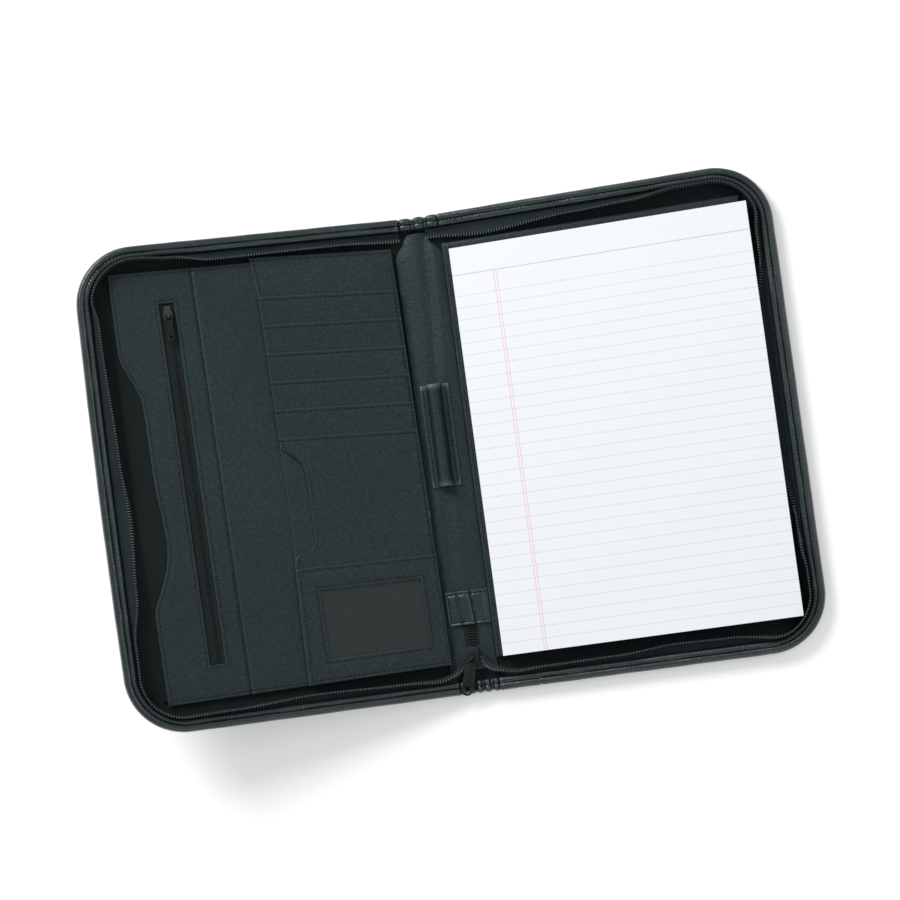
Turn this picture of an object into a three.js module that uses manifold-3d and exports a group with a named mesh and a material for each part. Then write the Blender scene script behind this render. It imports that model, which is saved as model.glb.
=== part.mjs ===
// Zip-around portfolio lying open: a padded leatherette cover in two halves and a spine, a zip
// on tapes round its rim, pockets and card slots in the left half, a writing pad in the right.
// The right half lies flat and the left half leans up from the spine's fold.
// Every soft piece is drawn flat, as it is cut, in three lengths: u across (0 at the spine's
// middle, left is negative), v up the page and h up from the cover's underside. The function
// lay() then folds the left half up, so all pieces bend together.
import * as THREE from 'three';
import { mergeVertices } from 'three/addons/utils/BufferGeometryUtils.js';
import Module from 'manifold-3d';

const manifold = await Module();
manifold.setup();

// Clearance between neighbouring pieces, in millimetres as every length here
const gap = 0.3;

// Thickness of each layer
const coverThickness = 2.6;
const liningThickness = 0.8;
const leatherThickness = 1.2;
const slotThickness = 1.0;
const pocketBackThickness = 0.9;
const tapeThickness = 0.8;
const thinTape = 0.5;
const windowThickness = 0.5;
const padLiningThickness = 3.3;
const boardThickness = 0.9;
const paperThickness = 6;

// Spine lining and pen loop
const spineLeft = -21.5;
const spineRight = 14.6;
const spineLiningThickness = 1.4;
const spineBulge = 1.6;
const penTop = 50;
const penLength = 75;
const penCentre = -4.5;
const penFlange = 21;
const penTubeWidth = 10.6;
const penTubeHeight = 10.4;
const penWall = 1.0;

// Writing pad, the stitched strip along its left edge and the room that the cover leaves round it
const padWidth = 215.5;
const padHeight = 298;
const padStripWidth = 4.8;
const padLeft = spineRight + gap + padStripWidth + 2 * gap;
const padSideRoom = 17.2;
const padTopRoom = 28;
const padFootRoom = 24;
const padLiningRoom = 22;

// Opened cover: each half's width from the spine's middle and half its height, its fold and the
// angle at which the left half leans up, in degrees
const halfWidth = padLeft + padWidth + padSideRoom;
const halfHeight = (padTopRoom + padHeight + padFootRoom) / 2;
const padFoot = padFootRoom - halfHeight;
const cornerRadius = 42;
const leftTilt = 15;
const foldStart = 14;
const foldRadius = 30;
const topPinch = 4;
const sideBow = 2;
const bowReach = 53;
const bowStart = halfWidth - bowReach;

// Rolled rim of the cover and the welt that is sewn inside it
const rimHeight = 11.6;
const rimWidth = 4.8;
const weltWidth = 4.4;
const weltHeight = 11;
const puckerReach = 15;
const topPuckers = 3;
const footPuckers = 5;
const puckerDepth = 1.3;
const footSeam = 44;

// Zip round the rim
const zipTapeWidth = 9;
const zipRootHeight = 7.6;
const zipTeethRadius = 1.05;
const zipTopLeft = 16;
const zipTopRight = 4;
const zipFreeLength = 34;
const zipFootRoom = 22.5;
const zipFoot = halfHeight - zipFootRoom;
const slackLimit = 2.2;

// Zip slider, its pull and the closed tail under the end band
const sliderLength = 10.5;
const sliderWidth = 9.4;
const sliderTurn = 17;
const sliderU = -1.5;
const sliderFootRoom = 28;
const sliderV = sliderFootRoom - halfHeight;
const hingeBack = 2.6;
const pullLength = 28;
const pullWidth = 8.8;
const pullThickness = 1.2;
const pullHole = 2.9;
const pullNeck = 4.4;
const pullShoulder = 7;
const eyeWidth = 2.6;
const loopInside = 1.1;
const loopWall = 1.2;
const loopBreadth = 1.6;
const tailWidth = 12;
const tailTeethWidth = 5.6;
const tailTeethHeight = 1.8;
const tailLap = 4;
const tailClearance = 1.4;
const bandFootRoom = 49.5;
const bandDepth = 24.5;
const bandTop = bandFootRoom + bandDepth - halfHeight;
const spineEndRoom = 17;
const spineEnd = halfHeight - spineEndRoom;

// Organizer in the left half: document panel, its zip and the card panel on top
const organizerSideRoom = 24;
const organizerSpineRoom = 2.9;
const organizerTopRoom = 19.2;
const organizerFootRoom = 19.8;
const organizerLeft = organizerSideRoom - halfWidth;
const organizerTop = halfHeight - organizerTopRoom;
const organizerWidth = spineLeft - organizerSpineRoom - organizerLeft;
const organizerHeight = 2 * halfHeight - organizerTopRoom - organizerFootRoom;
const organizerLean = 4.5;
const topDip = 2.4;
const footRise = 2.8;
const sCurveDepth = 15;
const backEdge = 3.4;
const slitCentre = 38.6;
const slitWidth = 11;
const slitTop = 24.3;
const slitFoot = 24.7;
const slitLength = organizerHeight - slitTop - slitFoot;
const slitTapeWidth = 22;
const slitTapeLap = 6;
const slitTeethWidth = 2.6;
const slitTeethHeight = 1.4;
const pocketSliderLength = 9;
const pocketSliderWidth = 6.6;
const pocketSliderHeight = 2.6;
const pocketPullLength = 19;
const pocketPullWidth = 5;
const cardLeft = 104.5;
const firstSlot = 28;
const slotPitch = 21;
const slotCount = 5;
const slotLap = 5;
const sidePocketTop = firstSlot + slotPitch * slotCount;
const sidePocketHeight = 94;
const notchTop = 8;
const notchFoot = 8;
const notchHeight = sidePocketHeight - notchTop - notchFoot;
const notchDepth = 15.5;
const windowPocketTop = sidePocketTop + sidePocketHeight;
const windowInset = 13.6;
const windowSideEdge = 14;
const windowTopEdge = 17;
const windowFootEdge = 16.5;
const windowWidth = organizerWidth - cardLeft - windowInset - windowSideEdge;
const windowHeight = organizerHeight - windowPocketTop - windowTopEdge - windowFootEdge;
const windowLap = 4;

// Levels of the layers above the cover's underside
const liningLevel = coverThickness + gap;
const backLevel = liningLevel + liningThickness + gap;
const slitTapeLevel = backLevel + pocketBackThickness + gap;
const documentLevel = slitTapeLevel + thinTape + gap;
const cardLevel = documentLevel + leatherThickness + gap;
const slotLevel = cardLevel + leatherThickness + gap;
const slotStep = slotThickness + gap;
const spineTopLevel = backLevel + spineLiningThickness + spineBulge;
const sliderLevel = spineTopLevel + gap;
const padBoardLevel = backLevel + padLiningThickness + gap;
const paperLevel = padBoardLevel + boardThickness + gap;
const tilt = THREE.MathUtils.degToRad(leftTilt);

// How far the zip tape stands in from the rim and up from it, as shares of its own width, by
// its place along each half's rim from the top of the spine round to the foot
const leftLean = [
  { at: 0.0, inward: 0.65, up: 0.1 },
  { at: 0.06, inward: 0.57, up: 0.6 },
  { at: 0.18, inward: 0.62, up: 0.55 },
  { at: 0.22, inward: 0.2, up: 0.9 },
  { at: 0.25, inward: 0.0, up: 0.98 },
  { at: 0.31, inward: 0.02, up: 0.97 },
  { at: 0.335, inward: 0.39, up: 0.85 },
  { at: 0.46, inward: 0.68, up: 0.6 },
  { at: 0.52, inward: 0.94, up: 0.2 },
  { at: 0.59, inward: 0.68, up: 0.6 },
  { at: 0.635, inward: 0.14, up: 0.95 },
  { at: 0.71, inward: 0.0, up: 0.98 },
  { at: 0.77, inward: 0.12, up: 0.95 },
  { at: 0.85, inward: 0.46, up: 0.8 },
  { at: 0.93, inward: 0.3, up: 0.85 },
  { at: 0.975, inward: 0.1, up: 0.75 },
  { at: 1.0, inward: -0.45, up: 0.15 },
];
const rightLean = [
  { at: 0.0, inward: 0.65, up: 0.1 },
  { at: 0.05, inward: 0.95, up: 0.15 },
  { at: 0.14, inward: 0.57, up: 0.6 },
  { at: 0.19, inward: 0.46, up: 0.75 },
  { at: 0.235, inward: 0.02, up: 0.97 },
  { at: 0.315, inward: 0.0, up: 0.97 },
  { at: 0.34, inward: 0.26, up: 0.85 },
  { at: 0.36, inward: 0.3, up: 0.35 },
  { at: 0.375, inward: 0.3, up: -0.2 },
  { at: 0.4, inward: 0.85, up: -0.2 },
  { at: 0.56, inward: 0.85, up: -0.2 },
  { at: 0.59, inward: 0.3, up: -0.2 },
  { at: 0.605, inward: 0.3, up: 0.35 },
  { at: 0.63, inward: 0.2, up: 0.9 },
  { at: 0.65, inward: 0.0, up: 0.995 },
  { at: 0.71, inward: 0.0, up: 0.995 },
  { at: 0.77, inward: 0.57, up: 0.65 },
  { at: 0.82, inward: 0.65, up: 0.6 },
  { at: 0.87, inward: 0.35, up: 0.85 },
  { at: 0.94, inward: 0.3, up: 0.85 },
  { at: 0.975, inward: 0.1, up: 0.75 },
  { at: 1.0, inward: -0.45, up: 0.15 },
];

// Cut-outs on left edges: depth as a share, by the share of the edge from its top
const sCurve = [
  { down: 0.176, depth: 0.0 },
  { down: 0.205, depth: 0.07 },
  { down: 0.235, depth: 0.3 },
  { down: 0.268, depth: 0.6 },
  { down: 0.3, depth: 0.78 },
  { down: 0.35, depth: 0.83 },
  { down: 0.5, depth: 0.85 },
  { down: 0.58, depth: 0.97 },
  { down: 0.64, depth: 1.0 },
  { down: 0.69, depth: 0.82 },
  { down: 0.74, depth: 0.42 },
  { down: 0.77, depth: 0.13 },
  { down: 0.8, depth: 0.0 },
];
const sideNotch = [
  { down: 0.0, depth: 0.0 },
  { down: 0.11, depth: 0.75 },
  { down: 0.17, depth: 0.92 },
  { down: 0.28, depth: 1.0 },
  { down: 0.78, depth: 1.0 },
  { down: 0.89, depth: 0.92 },
  { down: 0.94, depth: 0.75 },
  { down: 1.0, depth: 0.0 },
];

const finishes = {
  leather: { color: 0x1d2223, roughness: 0.55, metalness: 0 },
  lining: { color: 0x171b1c, roughness: 0.8, metalness: 0 },
  tape: { color: 0x101313, roughness: 0.95, metalness: 0 },
  teeth: { color: 0x24282a, roughness: 0.5, metalness: 0 },
  metal: { color: 0x33373a, roughness: 0.45, metalness: 0.8 },
  clear: { color: 0xdfe6e8, roughness: 0.1, metalness: 0 },
  board: { color: 0x9a9488, roughness: 0.9, metalness: 0 },
  paper: { color: 0xf4f5f7, roughness: 0.8, metalness: 0 },
};

const portfolio = new THREE.Group();

// Fold a flat place into the opened cover
function lay(u, v, h) {
  const w = Math.abs(u);
  const y = v > 0 ? v * (1 - (topPinch / halfHeight) * (1 - w / halfWidth)) : v;
  if (u >= -foldStart) {
    return new THREE.Vector3(u, y, h);
  }
  const nearEdge = THREE.MathUtils.clamp((w - bowStart) / (halfWidth - bowStart), 0, 1);
  const past = w + sideBow * (1 - (v / halfHeight) ** 2) * nearEdge - foldStart;
  const turned = Math.min(past / foldRadius, tilt);
  const beyond = Math.max(past - foldRadius * tilt, 0);
  return new THREE.Vector3(
    -foldStart - (foldRadius - h) * Math.sin(turned) - beyond * Math.cos(turned),
    y,
    foldRadius - (foldRadius - h) * Math.cos(turned) + beyond * Math.sin(turned),
  );
}

// A named mesh from points and triangles, turned so that its faces point out
function addBody(name, points, faces, finish) {
  let volume = 0;
  for (const [a, b, c] of faces) {
    volume += points[a].dot(new THREE.Vector3().crossVectors(points[b], points[c]));
  }
  const order = volume < 0 ? faces.map(([a, b, c]) => [a, c, b]) : faces;
  const geometry = new THREE.BufferGeometry();
  geometry.setFromPoints(points);
  geometry.setIndex(order.flat());
  geometry.computeVertexNormals();
  return addMesh(name, geometry, finish);
}

function addMesh(name, geometry, finish) {
  const mesh = new THREE.Mesh(geometry, new THREE.MeshStandardMaterial(finishes[finish]));
  mesh.name = name;
  portfolio.add(mesh);
  return mesh;
}

function signedArea(contour) {
  return THREE.ShapeUtils.area(contour.map(([x, y]) => new THREE.Vector2(x, y)));
}

// Triangles of a flat outline with holes, all turning the way the outline does
function triangles(contour, holes = []) {
  const toVectors = (ring) => ring.map(([x, y]) => new THREE.Vector2(x, y));
  const all = [contour, ...holes].flat();
  const sense = Math.sign(signedArea(contour));
  return THREE.ShapeUtils.triangulateShape(toVectors(contour), holes.map(toVectors)).map(
    ([a, b, c]) => (Math.sign(signedArea([all[a], all[b], all[c]])) === sense ? [a, b, c] : [a, c, b]),
  );
}

// A body through a row of sections, each a closed ring of as many points
function loft(name, sections, startProfile, endProfile, finish) {
  const size = sections[0].length;
  const faces = [];
  for (let i = 0; i < sections.length - 1; i += 1) {
    for (let j = 0; j < size; j += 1) {
      const a = i * size + j;
      const b = i * size + ((j + 1) % size);
      faces.push([a, b, b + size], [a, b + size, a + size]);
    }
  }
  const last = (sections.length - 1) * size;
  faces.push(...triangles(startProfile).map(([a, b, c]) => [a, c, b]));
  faces.push(...triangles(endProfile).map(([a, b, c]) => [a + last, b + last, c + last]));
  return addBody(name, sections.flat(), faces, finish);
}

// A flat piece cut to an outline, with holes, whose underside is at level(u, v)
function addPanel(name, outline, holes, level, thickness, finish) {
  const rings = [outline, ...holes];
  const flat = rings.flat();
  const points = [];
  for (const lift of [0, thickness]) {
    for (const [u, v] of flat) {
      points.push(lay(u, v, level(u, v) + lift));
    }
  }
  const count = flat.length;
  const faces = [];
  for (const [a, b, c] of triangles(outline, holes)) {
    faces.push([a, c, b], [a + count, b + count, c + count]);
  }
  const sense = Math.sign(signedArea(outline));
  let start = 0;
  rings.forEach((ring, index) => {
    const turn = index === 0 ? 1 : Math.sign(signedArea(ring)) * -sense;
    for (let i = 0; i < ring.length; i += 1) {
      const a = start + i;
      const b = start + ((i + 1) % ring.length);
      const side = turn === 1 ? [a, b] : [b, a];
      faces.push([side[0], side[1], side[1] + count], [side[0], side[1] + count, side[0] + count]);
    }
    start += ring.length;
  });
  return addBody(name, points, faces, finish);
}

// Stations along one half's rim at an inset, from the top of the spine round to the foot. Each
// has its distance w from the spine's middle, its height v and the direction inwards.
function rimStations(inset, startW, endW, steps) {
  const cornerW = halfWidth - cornerRadius;
  const cornerV = halfHeight - cornerRadius;
  const radius = cornerRadius - inset;
  const stations = [];
  const addRun = (w0, v0, w1, v1, inwardW, inwardV, count) => {
    for (let i = 0; i < count; i += 1) {
      const t = i / count;
      stations.push({ w: w0 + (w1 - w0) * t, v: v0 + (v1 - v0) * t, inwardW, inwardV });
    }
  };
  const addCorner = (centreV, from) => {
    for (let i = 0; i < steps.corner; i += 1) {
      const angle = from - (Math.PI / 2) * (i / steps.corner);
      const [c, s] = [Math.cos(angle), Math.sin(angle)];
      stations.push({ w: cornerW + radius * c, v: centreV + radius * s, inwardW: -c, inwardV: -s });
    }
  };
  addRun(startW, cornerV + radius, cornerW, cornerV + radius, 0, -1, steps.run);
  addCorner(cornerV, Math.PI / 2);
  addRun(cornerW + radius, cornerV, cornerW + radius, -cornerV, -1, 0, steps.side);
  addCorner(-cornerV, 0);
  addRun(cornerW, -cornerV - radius, endW, -cornerV - radius, 0, 1, steps.run);
  stations.push({ w: endW, v: -cornerV - radius, inwardW: 0, inwardV: 1 });
  return stations;
}

// Distance from one gather to the next at the top or the foot of the spine
function puckerPitch(up) {
  return (2 * puckerReach) / (up > 0 ? topPuckers : footPuckers);
}

// How deep the gathers across the spine's ends are at a place: 0 on a crest, 1 in a valley
function pucker(u, up) {
  const turn = (2 * Math.PI * (u + puckerReach)) / puckerPitch(up);
  return Math.abs(u) >= puckerReach ? 0 : 0.5 + 0.5 * Math.cos(turn);
}

// Cover: one padded sheet whose edge is rolled up and over into a rim all round
function addCover() {
  const rimRings = [
    { inset: 6, level: 0, drop: 0, draw: 0 },
    { inset: 2.2, level: 0.3, drop: 0, draw: 0 },
    { inset: 0.5, level: 1.8, drop: 0, draw: 0.2 },
    { inset: 0, level: 4, drop: 0, draw: 0.5 },
    { inset: 0, level: rimHeight * 0.7, drop: 0.5, draw: 0.6 },
    { inset: 0.7, level: rimHeight - 1, drop: 1, draw: 0.5 },
    { inset: 2.2, level: rimHeight, drop: 1, draw: 0.2 },
    { inset: 3.7, level: rimHeight - 0.5, drop: 1, draw: 0 },
    { inset: rimWidth, level: rimHeight - 2, drop: 0.6, draw: 0 },
    { inset: rimWidth, level: coverThickness + 0.6, drop: 0, draw: 0 },
    { inset: rimWidth + 1.4, level: coverThickness, drop: 0, draw: 0 },
  ];
  const middle = [];
  const fold = foldStart + foldRadius * tilt;
  for (let u = -puckerReach; u <= puckerReach; u += 1) {
    middle.push(u);
  }
  const onHalf = (...shares) => shares.map((share) => share * bowStart);
  const leftRibs = onHalf(-1, -0.6, -0.3);
  const rightRibs = onHalf(0.12, 0.3, 0.6, 1);
  const across = [...leftRibs, -fold, -(fold + puckerReach) / 2, ...middle, ...rightRibs];
  const cornerSteps = 6;
  const sideSteps = 8;
  const cornerW = halfWidth - cornerRadius;
  const cornerV = halfHeight - cornerRadius;

  // One ring runs along the top from left to right, down, back along the foot and up
  const upper = [];
  for (let i = 0; i <= cornerSteps; i += 1) {
    upper.push({ side: -1, angle: (Math.PI / 2) * (i / cornerSteps) });
  }
  across.forEach((u) => upper.push({ u }));
  for (let i = cornerSteps; i >= 0; i -= 1) {
    upper.push({ side: 1, angle: (Math.PI / 2) * (i / cornerSteps) });
  }
  const rimPoint = (station, ring, up) => {
    if (station.side) {
      const radius = cornerRadius - ring.inset;
      const u = station.side * (cornerW + radius * Math.cos(station.angle));
      return lay(u, up * (cornerV + radius * Math.sin(station.angle)), ring.level);
    }
    const dent = pucker(station.u, up) * puckerDepth;
    const inset = ring.inset + dent * ring.draw;
    return lay(station.u, up * (halfHeight - inset), ring.level - dent * ring.drop);
  };
  const points = [];
  for (const ring of rimRings) {
    upper.forEach((station) => points.push(rimPoint(station, ring, 1)));
    for (let i = 1; i < sideSteps; i += 1) {
      points.push(lay(halfWidth - ring.inset, cornerV - (2 * cornerV * i) / sideSteps, ring.level));
    }
    [...upper].reverse().forEach((station) => points.push(rimPoint(station, ring, -1)));
    for (let i = 1; i < sideSteps; i += 1) {
      points.push(lay(-halfWidth + ring.inset, -cornerV + (2 * cornerV * i) / sideSteps, ring.level));
    }
  }
  const chain = upper.length;
  const ringSize = 2 * chain + 2 * (sideSteps - 1);
  const faces = [];
  for (let i = 0; i < rimRings.length - 1; i += 1) {
    for (let j = 0; j < ringSize; j += 1) {
      const a = i * ringSize + j;
      const b = i * ringSize + ((j + 1) % ringSize);
      faces.push([a, b, b + ringSize], [a, b + ringSize, a + ringSize]);
    }
  }
  // Flat faces inside the first and last rings: strips from the top edge to the foot, and a fan
  // at each side
  const inner = [];
  const foot = (k) => chain + (sideSteps - 1) + (chain - 1 - k);
  for (let k = 0; k < chain - 1; k += 1) {
    inner.push([k, k + 1, foot(k + 1)], [k, foot(k + 1), foot(k)]);
  }
  for (let i = 0; i < sideSteps - 1; i += 1) {
    inner.push([chain - 1, chain + i, chain + i + 1]);
    const left = 2 * chain + sideSteps - 1 + i;
    inner.push([0, left - 1, left]);
  }
  const last = (rimRings.length - 1) * ringSize;
  faces.push(...inner.map(([a, b, c]) => [a, c, b]));
  faces.push(...inner.map(([a, b, c]) => [a + last, b + last, c + last]));
  addBody('outer_cover', points, faces, 'leather');
}

// Rounded section of the welt: its inset from the rim's edge and its height
function weltProfile(dent) {
  const near = rimWidth + gap;
  const top = weltHeight - dent;
  const foot = backLevel;
  return [
    [near, foot],
    [near, top - 1.8],
    [near + weltWidth * 0.2, top - 0.4],
    [near + weltWidth * 0.5, top],
    [near + weltWidth * 0.8, top - 0.5],
    [near + weltWidth, top - 1.9],
    [near + weltWidth, foot],
  ];
}

function addWelt(name, side, startW, endW) {
  const stations = rimStations(0, startW, endW, { run: 4, corner: 6, side: 8 });
  const profile = weltProfile(0);
  const sections = stations.map((s) =>
    profile.map(([d, h]) => lay(side * (s.w + s.inwardW * d), s.v + s.inwardV * d, h)),
  );
  loft(name, sections, profile, profile, 'leather');
}

// Short welt across the end of the spine, gathered into puckers
function addSpineWelt(name, up, fromU, toU) {
  const places = [];
  const step = puckerPitch(up) / 6;
  for (let u = -puckerReach; u <= puckerReach + step / 2; u += step) {
    places.push(Math.min(Math.max(u, fromU), toU));
  }
  if (toU > puckerReach) {
    places.push(toU);
  }
  const sections = places.map((u) =>
    weltProfile(pucker(u, up) * puckerDepth).map(([d, h]) => lay(u, up * (halfHeight - d), h)),
  );
  loft(name, sections, weltProfile(0), weltProfile(0), 'leather');
}

// Lining sheet over the inside of both halves and the spine
function addInnerLining() {
  const inset = rimWidth + 2;
  const fold = foldStart + foldRadius * tilt;
  const side = halfWidth - inset;
  const top = halfHeight - inset;
  const corner = cornerRadius - inset;
  const places = [];
  const steps = 5;
  for (let i = 0; i <= steps; i += 1) {
    const angle = (Math.PI / 2) * (i / steps);
    places.push({ u: -side + corner * (1 - Math.cos(angle)), v: top - corner * (1 - Math.sin(angle)) });
  }
  [-bowStart, -fold, -(2 * fold + foldStart) / 3, -(fold + 2 * foldStart) / 3, -foldStart].forEach((u) =>
    places.push({ u, v: top }),
  );
  for (let i = steps; i >= 0; i -= 1) {
    const angle = (Math.PI / 2) * (i / steps);
    places.push({ u: side - corner * (1 - Math.cos(angle)), v: top - corner * (1 - Math.sin(angle)) });
  }
  const low = liningLevel;
  const high = liningLevel + liningThickness;
  const ring = [[1, low], [1, high], [-1, high], [-1, low]];
  const sections = places.map(({ u, v }) => ring.map(([up, h]) => lay(u, up * v, h)));
  loft('inner_lining', sections, ring, ring, 'lining');
}

// Lean of the zip tape at a share of the rim, eased between the rows of a table
function leanAt(rows, share) {
  let i = 0;
  while (i < rows.length - 2 && rows[i + 1].at < share) {
    i += 1;
  }
  const [from, to] = [rows[i], rows[i + 1]];
  const t = THREE.MathUtils.smoothstep(share, from.at, to.at);
  return {
    inward: THREE.MathUtils.lerp(from.inward, to.inward, t),
    up: THREE.MathUtils.lerp(from.up, to.up, t),
  };
}

// Zip tape sewn along the welt and its row of teeth; near the foot of the spine both leave the
// rim and turn up to the slider
function addZipHalf(name, side, rows, startW) {
  const root = rimWidth + gap + weltWidth + gap + tapeThickness / 2;
  const stations = rimStations(root, startW, zipFreeLength, { run: 12, corner: 6, side: 24 });
  const startV = -(halfHeight - root);
  const endW = side * sliderU + sliderWidth / 2 + zipTapeWidth * 0.45 + 2 * zipTeethRadius + 4 * gap;
  const curve = new THREE.QuadraticBezierCurve(
    new THREE.Vector2(zipFreeLength, startV),
    new THREE.Vector2(endW + 2, startV + 2),
    new THREE.Vector2(endW, -zipFoot),
  );
  const freeSteps = 7;
  for (let i = 1; i <= freeSteps; i += 1) {
    const point = curve.getPoint(i / freeSteps);
    const along = curve.getTangent(i / freeSteps);
    stations.push({ w: point.x, v: point.y, inwardW: along.y, inwardV: -along.x });
  }
  let length = 0;
  const lengths = stations.map((s, i) => {
    if (i > 0) {
      length += Math.hypot(s.w - stations[i - 1].w, s.v - stations[i - 1].v);
    }
    return length;
  });
  const half = tapeThickness / 2;
  const tapes = [];
  const teeth = [];
  const profiles = [];
  stations.forEach((s, i) => {
    const lean = leanAt(rows, lengths[i] / length);
    const reach = new THREE.Vector2(lean.inward, lean.up).multiplyScalar(zipTapeWidth);
    const chord = reach.length();
    const slack = Math.min(Math.sqrt(Math.max(zipTapeWidth ** 2 - chord ** 2, 0)) / 2, slackLimit);
    const across = new THREE.Vector2(reach.y, -reach.x).divideScalar(chord);
    const start = new THREE.Vector2(0, zipRootHeight);
    const bend = start.clone().addScaledVector(reach, 0.5).addScaledVector(across, slack);
    const tip = start.clone().add(reach);
    const spots = [start, bend, tip];
    const ways = [bend.clone().sub(start).normalize(), tip.clone().sub(bend).normalize()];
    const normals = [ways[0], ways[0].clone().add(ways[1]).normalize(), ways[1]].map(
      (way) => new THREE.Vector2(-way.y, way.x),
    );
    const faceUp = spots.map((spot, k) => spot.clone().addScaledVector(normals[k], half));
    const faceDown = spots.map((spot, k) => spot.clone().addScaledVector(normals[k], -half)).reverse();
    const profile = [...faceUp, ...faceDown].map((p) => [p.x, p.y]);
    profiles.push(profile);
    const put = ([d, h]) => lay(side * (s.w + s.inwardW * d), s.v + s.inwardV * d, h);
    tapes.push(profile.map(put));
    const centre = tip.clone().addScaledVector(ways[1], gap + zipTeethRadius);
    const sides = 6;
    const ring = [];
    for (let k = 0; k < sides; k += 1) {
      const angle = (2 * Math.PI * (k + 0.5)) / sides + ways[1].angle();
      ring.push([
        centre.x + zipTeethRadius * Math.cos(angle),
        centre.y + zipTeethRadius * Math.sin(angle),
      ]);
    }
    teeth.push({ ring, points: ring.map(put) });
  });
  loft(`zip_tape_${name}`, tapes, profiles[0], profiles.at(-1), 'tape');
  loft(`zip_teeth_${name}`, teeth.map((t) => t.points), teeth[0].ring, teeth.at(-1).ring, 'teeth');
}

// Top of the soft lining that bulges along the spine
function spineTop(u) {
  const t = THREE.MathUtils.clamp((u - spineLeft) / (spineRight - spineLeft), 0, 1);
  return backLevel + spineLiningThickness + spineBulge * Math.sin(Math.PI * t);
}

// A soft sheet that lies along the spine: the same section of (u, underside, top) rows at each v
function addSpineSheet(name, rows, ends, finish) {
  const sections = ends.map(({ v, narrow }) => {
    const place = (u) => THREE.MathUtils.lerp(u, (spineLeft + spineRight) / 2, narrow);
    return [
      ...rows.map((row) => lay(place(row.u), v, row.low)),
      ...[...rows].reverse().map((row) => lay(place(row.u), v, row.high)),
    ];
  });
  const profile = [
    ...rows.map((row) => [row.u, row.low]),
    ...[...rows].reverse().map((row) => [row.u, row.high]),
  ];
  loft(name, sections, profile, profile, finish);
}

function addSpineLining() {
  const steps = 12;
  const rows = [];
  for (let i = 0; i <= steps; i += 1) {
    const u = THREE.MathUtils.lerp(spineLeft, spineRight, i / steps);
    rows.push({ u, low: spineTop(u) - spineLiningThickness, high: spineTop(u) });
  }
  const ends = [
    { v: -spineEnd, narrow: 0 },
    { v: spineEnd - 12, narrow: 0 },
    { v: spineEnd - 7, narrow: 0.17 },
    { v: spineEnd - 3, narrow: 0.38 },
    { v: spineEnd + 5, narrow: 0.63 },
  ];
  addSpineSheet('spine_lining', rows, ends, 'leather');
}

// Band sewn across the foot of the spine over the zip's tail
function addEndBand() {
  const bumpHalf = tailTeethWidth / 2 + 1.6;
  const bumpTop = sliderLevel + tapeThickness + tailTeethHeight + gap;
  const left = spineLeft + 4;
  const right = spineRight - gap;
  const rows = [];
  const steps = 16;
  for (let i = 0; i <= steps; i += 1) {
    const u = THREE.MathUtils.lerp(left, right, i / steps);
    const fromTail = Math.abs(u - sliderU);
    const rise = 1 - THREE.MathUtils.smoothstep(fromTail, bumpHalf, bumpHalf + 3.5);
    const overTail = fromTail < tailWidth / 2 + 1 ? sliderLevel + tapeThickness + gap : 0;
    const low = Math.max(spineTop(u) + gap, overTail, THREE.MathUtils.lerp(spineTop(u) + gap, bumpTop, rise));
    rows.push({ u, low, high: low + leatherThickness });
  }
  const ends = [{ v: bandTop - bandDepth, narrow: 0 }, { v: bandTop, narrow: 0 }];
  addSpineSheet('zip_end_band', rows, ends, 'leather');
}

// Closed tail of the zip: both tapes side by side and the joined teeth along their middle
function addZipTail() {
  const half = tailWidth / 2;
  const teeth = tailTeethWidth / 2;
  const low = sliderLevel;
  const mid = low + tapeThickness;
  const top = mid + tailTeethHeight;
  const profile = [
    [-half, low], [half, low], [half, mid], [teeth, mid], [teeth * 0.8, top - 0.3], [teeth * 0.4, top],
    [-teeth * 0.4, top], [-teeth * 0.8, top - 0.3], [-teeth, mid], [-half, mid],
  ];
  const start = sliderV + sliderLength / 2 + tailClearance;
  const sections = [start, bandTop - tailLap].map((v) => profile.map(([u, h]) => lay(sliderU + u, v, h)));
  loft('zip_tail', sections, profile, profile, 'tape');
}

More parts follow.
